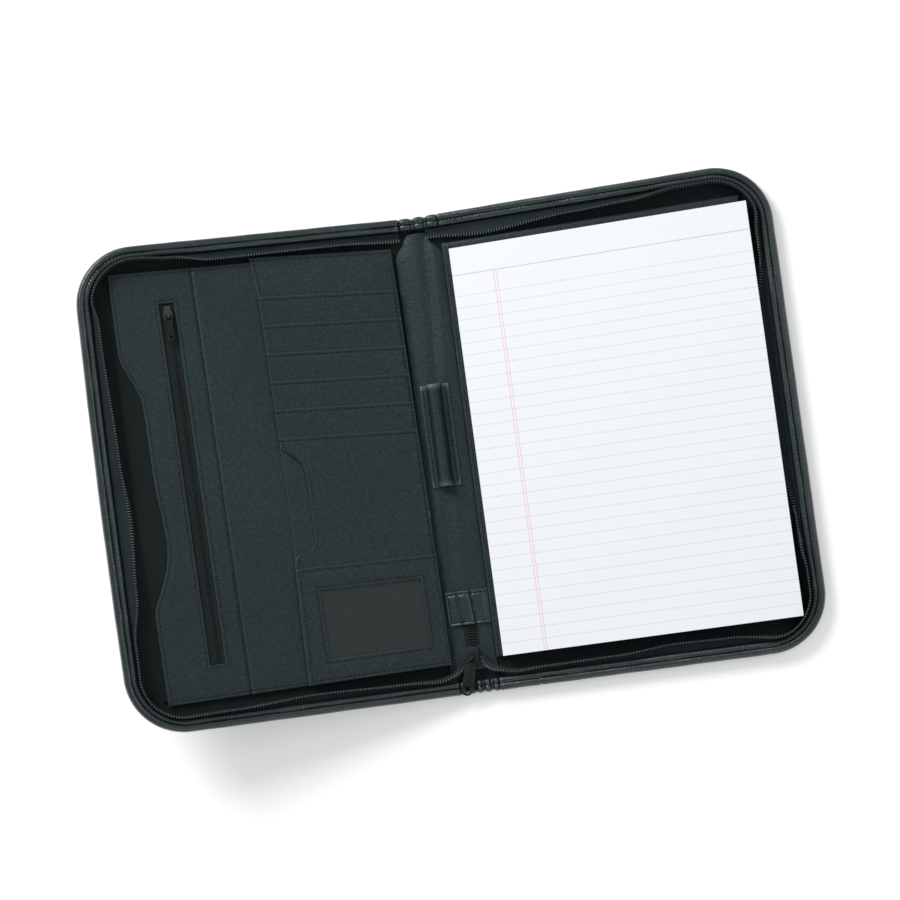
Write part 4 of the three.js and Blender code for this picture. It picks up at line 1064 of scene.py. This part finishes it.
def rounded_copy(name, node, radius):
    """The node's own shape as a fresh mesh with all its sharp edges rounded."""
    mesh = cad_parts[node].data.copy()
    mesh.name = name
    shell = bmesh.new()
    shell.from_mesh(mesh)
    bmesh.ops.remove_doubles(shell, verts=shell.verts, dist=2e-6)
    bmesh.ops.dissolve_limit(shell, angle_limit=0.02, verts=shell.verts, edges=shell.edges)
    shell.to_mesh(mesh)
    shell.free()
    rough = bpy.data.objects.new(name, mesh)
    bpy.context.scene.collection.objects.link(rough)
    bevel = rough.modifiers.new("round", "BEVEL")
    bevel.width = radius / 1000
    bevel.segments = 3
    bevel.limit_method = "ANGLE"
    bevel.angle_limit = math.radians(28)
    made = bpy.data.meshes.new_from_object(rough.evaluated_get(bpy.context.evaluated_depsgraph_get()))
    rough.modifiers.clear()
    rough.data = made
    made.shade_smooth()
    made.materials.clear()
    made.materials.append(enamel)
    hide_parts(node)
    return rough


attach(rounded_copy("rim_slider", "zip_slider", 0.3), "portfolio")
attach(rounded_copy("rim_pull_tab", "zip_pull", 0.3), "rim_pull")
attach(rounded_copy("pocket_slider", "pocket_zip_slider", 0.25), "portfolio")
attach(rounded_copy("pocket_pull_tab", "pocket_zip_pull", 0.25), "pocket_pull")

# Document pocket
# A large leatherette panel is sewn over a cloth back. Its left edge is cut in a long shallow curve
# so that papers can be pulled out, and a slit down it opens a second pocket behind.
organizer_side_margin = 24.0
organizer_top_margin = 19.2
organizer_foot_margin = 19.8
organizer_spine_gap = 2.9
organizer_left = organizer_side_margin - half_width
organizer_top = half_height - organizer_top_margin
organizer_width = spine_left - organizer_spine_gap - organizer_left
organizer_height = 2 * half_height - organizer_top_margin - organizer_foot_margin
organizer_lean = 4.5
top_dip = 2.4
foot_rise = 2.8
s_curve_depth = 15.0
slit_centre = 38.6
slit_width = 11.0
slit_top = 24.3
slit_foot_margin = 24.7
slit_length = organizer_height - slit_top - slit_foot_margin
slit_tape_width = 22.0
pocket_back_thickness = 0.9
back_edge = 3.4
back_end_inset = 3.0
back_right = organizer_width - 2
seam_across = 59.3
stitch_inset = 2.4
slit_tape_level = back_level + pocket_back_thickness + gap
document_level = slit_tape_level + thin_tape + gap
# share of the edge from its top, and depth of the cut there as a share
s_curve = np.array([
    (0.0, 0.0), (0.12, 0.0), (0.176, 0.0), (0.205, 0.07), (0.235, 0.3), (0.268, 0.6), (0.3, 0.78),
    (0.35, 0.83), (0.5, 0.85), (0.58, 0.97), (0.64, 1.0), (0.69, 0.82), (0.74, 0.42), (0.77, 0.13),
    (0.8, 0.0), (0.88, 0.0), (1.0, 0.0),
])


def on_organizer(across, down):
    """Flat place of a point on the organizer, by its distance from the left edge and the top."""
    t = across / organizer_width
    s = down / organizer_height
    top = organizer_top - top_dip * t
    foot = organizer_top - organizer_height + foot_rise * t
    return organizer_left + across + organizer_lean * s, top + (foot - top) * s


def eased(table, share):
    """A smooth line through a table's rows."""
    line = smooth_path(table, 8)
    return np.maximum(np.interp(share, line[:, 0], line[:, 1]), 0)


def sewn_relief(edge):
    """Sheet that is drawn down along its row of stitches and lies a little proud inside it."""
    inside = edge - stitch_inset
    return -0.22 * np.exp(-((inside / 0.7) ** 2)) + 0.06 * np.clip(inside / 3, 0, 1)


def rect_distance(across, down, left, top, right, foot):
    """Distance outside a rectangle."""
    dx = np.maximum(np.maximum(left - across, across - right), 0)
    dy = np.maximum(np.maximum(top - down, down - foot), 0)
    return np.hypot(dx, dy)


def on_sheet(line, level, place=on_organizer):
    """Points in metres of a line of (across, down) rows on the organizer, at a level."""
    line = np.asarray(line, float)
    u, v = place(line[:, 0], line[:, 1])
    return lay(u, v, level)


def dotted(corners, step=2.0):
    """A line through those corners with a point about every step."""
    made = []
    for a, b in zip(corners[:-1], corners[1:]):
        a, b = np.array(a, float), np.array(b, float)
        count = max(int(np.linalg.norm(b - a) / step), 1)
        made += [a + (b - a) * k / count for k in range(count)]
    return np.array([*made, corners[-1]])


def box_line(left, top, right, foot):
    """A closed line round a rectangle."""
    return dotted([(left, top), (right, top), (right, foot), (left, foot), (left, top)])


backing = cloth("pocket_cloth", (0.0042, 0.0088, 0.0092))
back_foot = organizer_height - back_end_inset
across, down = np.meshgrid(rulings(-back_edge, back_right, 7), rulings(back_end_inset, back_foot, 7))
edge = from_sides(across, -back_edge, back_right, down, back_end_inset, back_foot)
back = turned_sheet(
    "pocket_back", *on_organizer(across, down), back_level, pocket_back_thickness, edge,
)
settle(back, backing, "lining", "document_pocket_back")
edge_line = dotted([
    (1.4 - back_edge, back_end_inset + 1.5), (1.4 - back_edge, organizer_height - back_end_inset - 1.5),
])
stitches("pocket_back_stitches", [on_sheet(edge_line, back_level + pocket_back_thickness - 0.05)])

slit_left = slit_centre - slit_width / 2
slit_right = slit_centre + slit_width / 2
slit_foot = slit_top + slit_length
left_block = rulings(0, slit_left, 3.5)
seam_columns = seam_across + np.array([-2.6, -1.6, -0.9, -0.45, 0.0, 0.3, 0.9])
right_block = np.union1d(rulings(slit_right, organizer_width, 3.5), seam_columns)
down_rows = np.concatenate([
    rulings(0, slit_top, 2.5), rulings(slit_top, slit_foot, 3.0)[1:],
    rulings(slit_foot, organizer_height, 2.5)[1:],
])
cut = eased(s_curve, down_rows / organizer_height) * s_curve_depth
weight = np.clip((slit_left - edge_stretch - left_block) / (slit_left - 2 * edge_stretch), 0, 1)
across = np.hstack([
    left_block + cut[:, None] * weight,
    np.broadcast_to(right_block, (len(down_rows), len(right_block))),
])
down = np.broadcast_to(down_rows[:, None], across.shape)
slope = np.gradient(cut, down_rows)
from_left = (across - cut[:, None]) / np.sqrt(1 + slope[:, None] ** 2)
from_slit = rect_distance(across, down, slit_left, slit_top, slit_right, slit_foot)
edge = np.minimum.reduce([from_left, organizer_width - across, down, organizer_height - down])
nearest = np.minimum(edge, from_slit)
keep = np.ones((len(down_rows) - 1, across.shape[1] - 1), bool)
middle_down = (down_rows[1:] + down_rows[:-1]) / 2
keep[(middle_down > slit_top) & (middle_down < slit_foot), len(left_block) - 1] = False
relief = sewn_relief(nearest) - 0.8 * np.exp(-(((across - seam_across) / 0.6) ** 2))
relief = relief + 0.12 * np.sin(across / 21 + 1) * np.sin(down / 33) * np.clip(edge / 8, 0, 1)
document = turned_sheet(
    "document_pocket_front", *on_organizer(across, down), document_level, leather_thickness, nearest,
    relief, keep,
)
settle(document, panel_leather, "leather", "document_panel")
level = document_level + leather_thickness - thread_sink
right_row = organizer_width - stitch_inset
foot_row = organizer_height - stitch_inset
rows = np.arange(stitch_inset, foot_row + 0.1, 2.0)
edge_line = np.stack([eased(s_curve, rows / organizer_height) * s_curve_depth + stitch_inset, rows], 1)
around_slit = box_line(
    slit_left - stitch_inset, slit_top - stitch_inset, slit_right + stitch_inset, slit_foot + stitch_inset,
)
stitches("document_stitches", [
    on_sheet(edge_line, level),
    on_sheet(dotted([(stitch_inset, stitch_inset), (right_row, stitch_inset)]), level),
    on_sheet(dotted([(stitch_inset, foot_row), (right_row, foot_row)]), level),
    on_sheet(around_slit, level),
    on_sheet(dotted([(seam_across - 1.6, 1), (seam_across - 1.6, organizer_height - 1)]), level + 0.1),
])

# Pocket zip
# A finer coil zip is sewn behind the slit, closed all the way down, with its slider at the top.
pocket_slider_length = 9.0
pocket_coil_pitch = 1.5
pocket_coil_offset = 0.62
slider_spot = slit_top + 2 + pocket_slider_length / 2
slit_tape_lap = 6.0
across, down = np.meshgrid(
    rulings(slit_centre - slit_tape_width / 2, slit_centre + slit_tape_width / 2, 2.0),
    rulings(slit_top - slit_tape_lap, slit_foot + slit_tape_lap, 5.0),
)
ridge = 0.12 * np.cos((across - slit_centre) * 1.6) * (np.abs(across - slit_centre) < 5)
pocket_tape = sheet_mesh(
    "pocket_zip_ribbon", *on_organizer(across, down), slit_tape_level, slit_tape_level + thin_tape + ridge,
    flat=np.stack([across, down], -1) / 1000,
)
settle(pocket_tape, shaded_tape_finish, "zip_tape", "pocket_zip_tape")
coil_top = slider_spot + pocket_slider_length / 2 + gap
pocket_lines, pocket_ways = [], []
for side in (-1, 1):
    coil_across = slit_centre + side * pocket_coil_offset
    line = dotted([(coil_across, coil_top), (coil_across, slit_foot - 1)])
    pocket_lines.append(on_sheet(line, document_level + 0.55))
    pocket_ways.append(on_sheet(line + (1, 0), document_level) - on_sheet(line, document_level))
size = (0.0006, 0.00042, 0.00042)
pocket_coil = links_along(
    "pocket_zip_coil", coil_tree, pocket_lines, pocket_coil_pitch / 1000, size, 0.45, shaded_nylon,
    pocket_ways,
)
settle(pocket_coil, shaded_nylon, "zip_teeth", "pocket_zip_teeth")

# Card pockets
# A narrower panel is sewn over the document panel, and on it five card slots that overlap like
# shingles, then a taller side pocket with a thumb cut-out in its left edge.
card_left = 104.5
card_right = organizer_width
card_width = card_right - card_left
first_slot = 28.0
slot_pitch = 21.0
slot_count = 5
slot_lap = 5.0
slot_lead = 3.0
slot_thickness = 1.0
side_pocket_height = 94.0
notch_top = 8.0
notch_height = side_pocket_height - 2 * notch_top
notch_depth = 15.5
notch_fade = 30.0
flare_width = 13.0
card_level = document_level + leather_thickness + gap
slot_level = card_level + leather_thickness + gap
slot_step = slot_thickness + gap
# distance down the panel, how far its seams lie lower at their left and right ends, and how far
# its left edge stands out
card_slant = np.array([
    (0.0, -3.3, 0.0, 2.8), (28.0, -1.4, 2.9, 0.0), (133.0, -1.8, 3.9, 0.0), (200.0, -0.5, 3.1, 0.0),
    (227.0, 0.0, 2.5, 1.6), (311.0, 0.0, 0.0, 4.0),
])
# share of the cut-out from its top, and its depth there as a share
side_notch = np.array([
    (-0.1, 0.0), (-0.03, 0.02), (0.02, 0.18), (0.11, 0.72), (0.17, 0.92), (0.28, 1.0), (0.5, 1.0),
    (0.78, 1.0), (0.89, 0.92), (0.94, 0.72), (0.98, 0.18), (1.03, 0.02), (1.1, 0.0),
])
card_thread = []


def on_cards(across, down):
    """Flat place of a point on the card panel, whose seams lie a little more level than it."""
    t = np.clip((across - card_left) / (card_right - card_left), 0, 1)
    at_left, at_right, out = (np.interp(down, card_slant[:, 0], card_slant[:, k]) for k in (1, 2, 3))
    fade = np.clip(1 - (across - card_left) / flare_width, 0, 1)
    return on_organizer(across - out * fade, down + at_left * (1 - t) + at_right * t)


def sew_cards(corners, level):
    """A row of stitches through those corners on the card panel's pieces."""
    card_thread.append(on_sheet(dotted(corners), level, on_cards))


def strip_level(across, down, top, height):
    """Level of a slot strip: its upper edge stands over the strip above, its foot lies low."""
    v = on_organizer(across, down)[1]
    high_v = on_organizer(card_left, top)[1]
    low_v = on_organizer(card_left, top + height)[1]
    lap_share = slot_lap / height
    t = np.clip((high_v + slot_lead - v) / (high_v + slot_lead - low_v), 0, 1)
    return slot_level + slot_step * np.maximum(1 + lap_share - t * (1 + 2 * lap_share), 0)


def card_strip(name, node, top, height, step, edge_cut=None):
    """A strip across the card panel with a turned and stitched upper edge."""
    down_rows = rulings(top, top + height, step)
    columns = rulings(card_left, card_right, 4.0)
    cut = np.zeros(len(down_rows)) if edge_cut is None else edge_cut(down_rows)
    weight = np.clip((card_left + notch_fade - columns) / (notch_fade - edge_stretch), 0, 1)
    across = columns + cut[:, None] * weight
    down = np.broadcast_to(down_rows[:, None], across.shape)
    slope = np.gradient(cut, down_rows)
    from_left = (across - card_left - cut[:, None]) / np.sqrt(1 + slope[:, None] ** 2)
    edge = np.minimum.reduce([from_left, card_right - across, down - top, top + height - down])
    t = np.clip((across - card_left) / card_width, 0, 1)
    sag = -0.14 * np.sin(math.pi * t) * np.exp(-(down - top) / 6)
    strip = turned_sheet(
        name, *on_cards(across, down), strip_level(across, down, top, height) + sag, slot_thickness,
        edge, sewn_relief(np.minimum(down - top, card_right - across)),
    )
    settle(strip, panel_leather, "leather", node)
    line = dotted([(card_left + 1.5, top + stitch_inset), (card_right - 1.5, top + stitch_inset)])
    level = strip_level(line[:, 0], line[:, 1], top, height) + slot_thickness
    card_thread.append(on_sheet(line, level - thread_sink, on_cards))
    if edge_cut is not None:
        rows = np.arange(top + stitch_inset, top + height, 1.5)
        line = np.stack([card_left + edge_cut(rows) + stitch_inset, rows], 1)
        level = strip_level(line[:, 0], line[:, 1], top, height) + slot_thickness
        card_thread.append(on_sheet(line, level - 0.08, on_cards))


across, down = np.meshgrid(rulings(card_left, card_right, 6), rulings(0, organizer_height, 6))
edge = from_sides(across, card_left, card_right, down, 0, organizer_height)
card_panel = turned_sheet(
    "card_pocket_panel", *on_cards(across, down), card_level, leather_thickness, edge, sewn_relief(edge),
)
settle(card_panel, panel_leather, "leather", "card_panel")
for k in range(slot_count):
    slot_top = first_slot + slot_pitch * k
    card_strip(f"card_strip_{k + 1}", f"card_slot_{k + 1}", slot_top, slot_pitch + slot_lap, 2.5)
side_top = first_slot + slot_pitch * slot_count
card_strip(
    "side_pocket_front", "side_pocket", side_top, side_pocket_height + slot_lap, 1.5,
    lambda down: eased(side_notch, (down - side_top - notch_top) / notch_height) * notch_depth,
)
left_row = card_left + stitch_inset
right_row = card_right - stitch_inset
level = card_level + leather_thickness - thread_sink
sew_cards([(left_row, stitch_inset), (right_row, stitch_inset)], level)
sew_cards([(left_row, stitch_inset), (left_row, first_slot)], level)
sew_cards([(right_row, stitch_inset), (right_row, foot_row)], slot_level + slot_step + slot_thickness - 0.2)

# Window pocket
# The lowest pocket has a window of clear vinyl behind a frame of leatherette, stitched round the
# opening, for a business card.
window_top_edge = side_top + side_pocket_height
window_left_margin = 13.6
window_right_margin = 14.0
window_top_margin = 17.0
window_foot_margin = 16.5
window_left = card_left + window_left_margin
window_width = organizer_width - card_left - window_left_margin - window_right_margin
window_top = window_top_edge + window_top_margin
window_height = organizer_height - window_top_edge - window_top_margin - window_foot_margin
window_thickness = 0.5
window_lap = 4.0
window_right = window_left + window_width
window_foot = window_top + window_height
window_level = slot_level + slot_step
columns = np.concatenate([
    rulings(card_left, window_left, 2), rulings(window_left, window_right, 3)[1:],
    rulings(window_right, card_right, 2)[1:],
])
down_rows = np.concatenate([
    rulings(window_top_edge, window_top, 2), rulings(window_top, window_foot, 3)[1:],
    rulings(window_foot, organizer_height, 2)[1:],
])
across, down = np.meshgrid(columns, down_rows)
edge = from_sides(across, card_left, card_right, down, window_top_edge, organizer_height)
from_window = rect_distance(across, down, window_left, window_top, window_right, window_foot)
nearest = np.minimum(edge, from_window)
middle_down = (down_rows[1:] + down_rows[:-1]) / 2
middle_across = (columns[1:] + columns[:-1]) / 2
keep = ~(
    ((middle_down > window_top) & (middle_down < window_foot))[:, None]
    & ((middle_across > window_left) & (middle_across < window_right))[None, :]
)
frame_sheet = turned_sheet(
    "window_pocket_front", *on_cards(across, down), window_level, slot_thickness, nearest,
    sewn_relief(nearest), keep,
)
settle(frame_sheet, panel_leather, "leather", "window_pocket")
level = window_level + slot_thickness - thread_sink
window_row = window_top_edge + stitch_inset
sew_cards([(card_left + 1.5, window_row), (card_right - 1.5, window_row)], level)
sew_cards([(left_row, window_top_edge + 4), (left_row, foot_row)], level)
sew_cards([(left_row, foot_row), (right_row, foot_row)], level)
around_window = box_line(
    window_left - stitch_inset, window_top - stitch_inset,
    window_right + stitch_inset, window_foot + stitch_inset,
)
card_thread.append(on_sheet(around_window, level, on_cards))
stitches("card_stitches", card_thread)

vinyl = new_finish("clear_vinyl_sheet", (0.04, 0.05, 0.05), 0.08, 0.9)
vinyl.node_tree.nodes["Principled BSDF"].inputs["Alpha"].default_value = 0.25
emboss(vinyl, noise(vinyl, own_place(vinyl), 22.0, 1.0), 0.5, 0.0006)
across, down = np.meshgrid(
    np.linspace(window_left - window_lap, window_right + window_lap, 40),
    np.linspace(window_top - window_lap, window_foot + window_lap, 30),
)
from_middle = rect_distance(
    across, down, window_left + 3, window_top + 3, window_right - 3, window_foot - 3,
)
inside = np.clip(1 - from_middle / 3, 0, 1)
ripple = -0.2 * inside * (0.5 + 0.5 * np.sin(across / 6.5 + np.sin(down / 15)))
low = window_level - gap - window_thickness + ripple
window = sheet_mesh("card_window", *on_cards(across, down), low, low + window_thickness)
settle(window, vinyl, "clear_vinyl", "id_window")

# Pad half
# The right half is lined with padded leatherette that carries the pad's board, and a strip with a
# row of stitches down its middle runs along its edge by the spine.
pad_lining_thickness = 3.3
pad_margin = 22.0
padding_roll = 2.6
pad_width = 215.5
pad_height = 298.0
board_thickness = 0.9
lining_start = spine_right + gap
lining_end = half_width - pad_margin
lining_top = half_height - pad_margin
strip_end = lining_start + pad_strip_width
strip_top = lining_top - 2
pad_board_level = back_level + pad_lining_thickness + gap
padding_marks = np.array([0, 0.3, 0.8, 1.6, padding_roll, 4])
u_grid, v_grid = np.meshgrid(
    rulings(lining_start, lining_end, 7, padding_marks),
    rulings(pad_foot, lining_top, 7, padding_marks)[::-1],
)
edge = from_sides(u_grid, lining_start, lining_end, v_grid, pad_foot, lining_top)
padding = turned_sheet(
    "padded_lining", u_grid, v_grid, back_level, pad_lining_thickness, edge, radius=padding_roll,
)
settle(padding, panel_leather, "leather", "pad_lining")

u_grid, v_grid = np.meshgrid(
    rulings(lining_start, strip_end, 0.8), rulings(pad_foot, strip_top, 3.0)[::-1],
)
edge = from_sides(u_grid, lining_start, strip_end, v_grid, pad_foot, strip_top)
strip_middle = lining_start + pad_strip_width / 2
relief = -0.4 * np.exp(-(((u_grid - strip_middle) / 0.8) ** 2)) + 0.08 * np.sin(v_grid / 7)
strip = turned_sheet(
    "pad_edge_strip", u_grid, v_grid, pad_board_level, leather_thickness, edge, relief,
)
settle(strip, panel_leather, "leather", "pad_strip")
strip_rows = np.linspace(pad_foot + 1.5, strip_top - 1.5, 150)
strip_line = lay(strip_middle, strip_rows, pad_board_level + leather_thickness - 0.3)
stitches("pad_strip_stitches", [strip_line], 1.3)

# Writing pad
# Sheets of white ruled paper are glued along the top to a grey board. A grey line closes the
# header, and a double pink margin line crosses pale blue rules.
board_colour = (0.34, 0.31, 0.26)
board_finish = new_finish("grey_chipboard", board_colour, 0.9, 0.2)
board_specks = noise(board_finish, own_place(board_finish), 1200.0, 4.0)
board_tone = spread(board_finish, board_specks, 0.3, 0.7, 0.8, 1.2)
drive(board_finish, "Base Color", dyed(board_finish, board_colour, board_tone))
u_grid, v_grid = np.meshgrid(
    np.linspace(pad_left, pad_left + pad_width, 9), np.linspace(pad_foot + pad_height, pad_foot, 13),
)
board = sheet_mesh(
    "pad_backing_board", u_grid, v_grid, pad_board_level, pad_board_level + board_thickness,
)
settle(board, board_finish, "board", "pad_board")

header_depth = 20.5
first_rule = 15.6
rule_pitch = 8.73
margin_across = 30.0
margin_gap = 2.0
line_softness = 0.00006
paper_level = pad_board_level + board_thickness + gap
paper_thickness = 6.0
paper_colour = (0.86, 0.875, 0.9)
paper = new_finish("ruled_paper", paper_colour, 0.75, 0.3)
page = add_node(paper, "ShaderNodeUVMap", {"uv_map": "flat"}).outputs["UV"]
page_parts = add_node(paper, "ShaderNodeSeparateXYZ", Vector=page)
across_page, down_page = page_parts.outputs["X"], page_parts.outputs["Y"]


def line_mask(value, width):
    """1 on a line of that width where value is near 0, both in metres."""
    size = calc(paper, "ABSOLUTE", value)
    return spread(paper, size, width / 2, width / 2 + line_softness, 1.0, 0.0)


below_first = calc(paper, "SUBTRACT", down_page, (header_depth + first_rule) / 1000)
turns = calc(paper, "DIVIDE", below_first, rule_pitch / 1000)
fraction = calc(paper, "SUBTRACT", turns, calc(paper, "ROUND", turns))
rules = line_mask(calc(paper, "MULTIPLY", fraction, rule_pitch / 1000), 0.0004)
in_rules = calc(paper, "GREATER_THAN", down_page, (header_depth + first_rule / 2) / 1000)
header = line_mask(calc(paper, "SUBTRACT", down_page, header_depth / 1000), 0.0005)
margins = [
    line_mask(calc(paper, "SUBTRACT", across_page, place / 1000), 0.0004)
    for place in (margin_across, margin_across + margin_gap)
]
in_page = calc(paper, "GREATER_THAN", down_page, header_depth / 1000)
tint = (*paper_colour, 1)
for mask, ink in (
    (calc(paper, "MULTIPLY", rules, in_rules), (0.6, 0.72, 0.74, 1)),
    (header, (0.5, 0.56, 0.58, 1)),
    (calc(paper, "MULTIPLY", calc(paper, "MAXIMUM", *margins), in_page), (0.83, 0.5, 0.53, 1)),
):
    tint = mixed(paper, mask, tint, ink)
drive(paper, "Base Color", tint)
emboss(paper, noise(paper, own_place(paper), 1500.0, 3.0), 0.15, 0.00005)

# The pile's edge shows as layers, each of which lies a hair in or out of its neighbours
random = np.random.default_rng(7)
layer_count = 24
across_count = 19
down_count = 25
u_places = np.linspace(0, pad_width, across_count)
v_places = np.linspace(pad_height, 0, down_count)
ring_u = np.concatenate([
    u_places, np.full(down_count - 2, pad_width), u_places[::-1], np.zeros(down_count - 2),
])
ring_v = np.concatenate([
    np.full(across_count, pad_height), v_places[1:-1], np.zeros(across_count), v_places[-2:0:-1],
])
size = len(ring_u)
points, flats = [], []
for k in range(layer_count):
    out = random.uniform(-0.16, 0.0)
    for share in (0.08, 0.92):
        level = paper_level + paper_thickness * (k + share) / layer_count
        grow_u = np.where(ring_u > pad_width / 2, out, -out)
        grow_v = np.where(ring_v > pad_height / 2, 0, -out)
        points.append(lay(pad_left + ring_u + grow_u, pad_foot + ring_v + grow_v, level))
        flats.append(np.tile((-0.01, 0.0), (size, 1)))
faces = [*ring_faces(2 * layer_count, size), tuple(range(size))]
inner_u, inner_v = np.meshgrid(u_places, v_places)
points.append(lay(pad_left + inner_u, pad_foot + inner_v, paper_level + paper_thickness).reshape(-1, 3))
flats.append((np.stack([inner_u, pad_height - inner_v], -1) / 1000).reshape(-1, 2))
top = 2 * layer_count * size + np.arange(down_count * across_count).reshape(down_count, across_count)
for corners in zip(top[:-1, :-1].flat, top[:-1, 1:].flat, top[1:, 1:].flat, top[1:, :-1].flat):
    faces.append(tuple(int(corner) for corner in corners))
top_ring = np.concatenate([top[0], top[1:-1, -1], top[-1, ::-1], top[-2:0:-1, 0]]).tolist()
last_ring = (2 * layer_count - 1) * size
for j in range(size):
    k = (j + 1) % size
    faces.append((last_ring + j, last_ring + k, top_ring[k], top_ring[j]))
pad = add_piece("paper_sheets", np.vstack(points), faces, np.vstack(flats))
settle(pad, paper, "paper", "pad_paper")
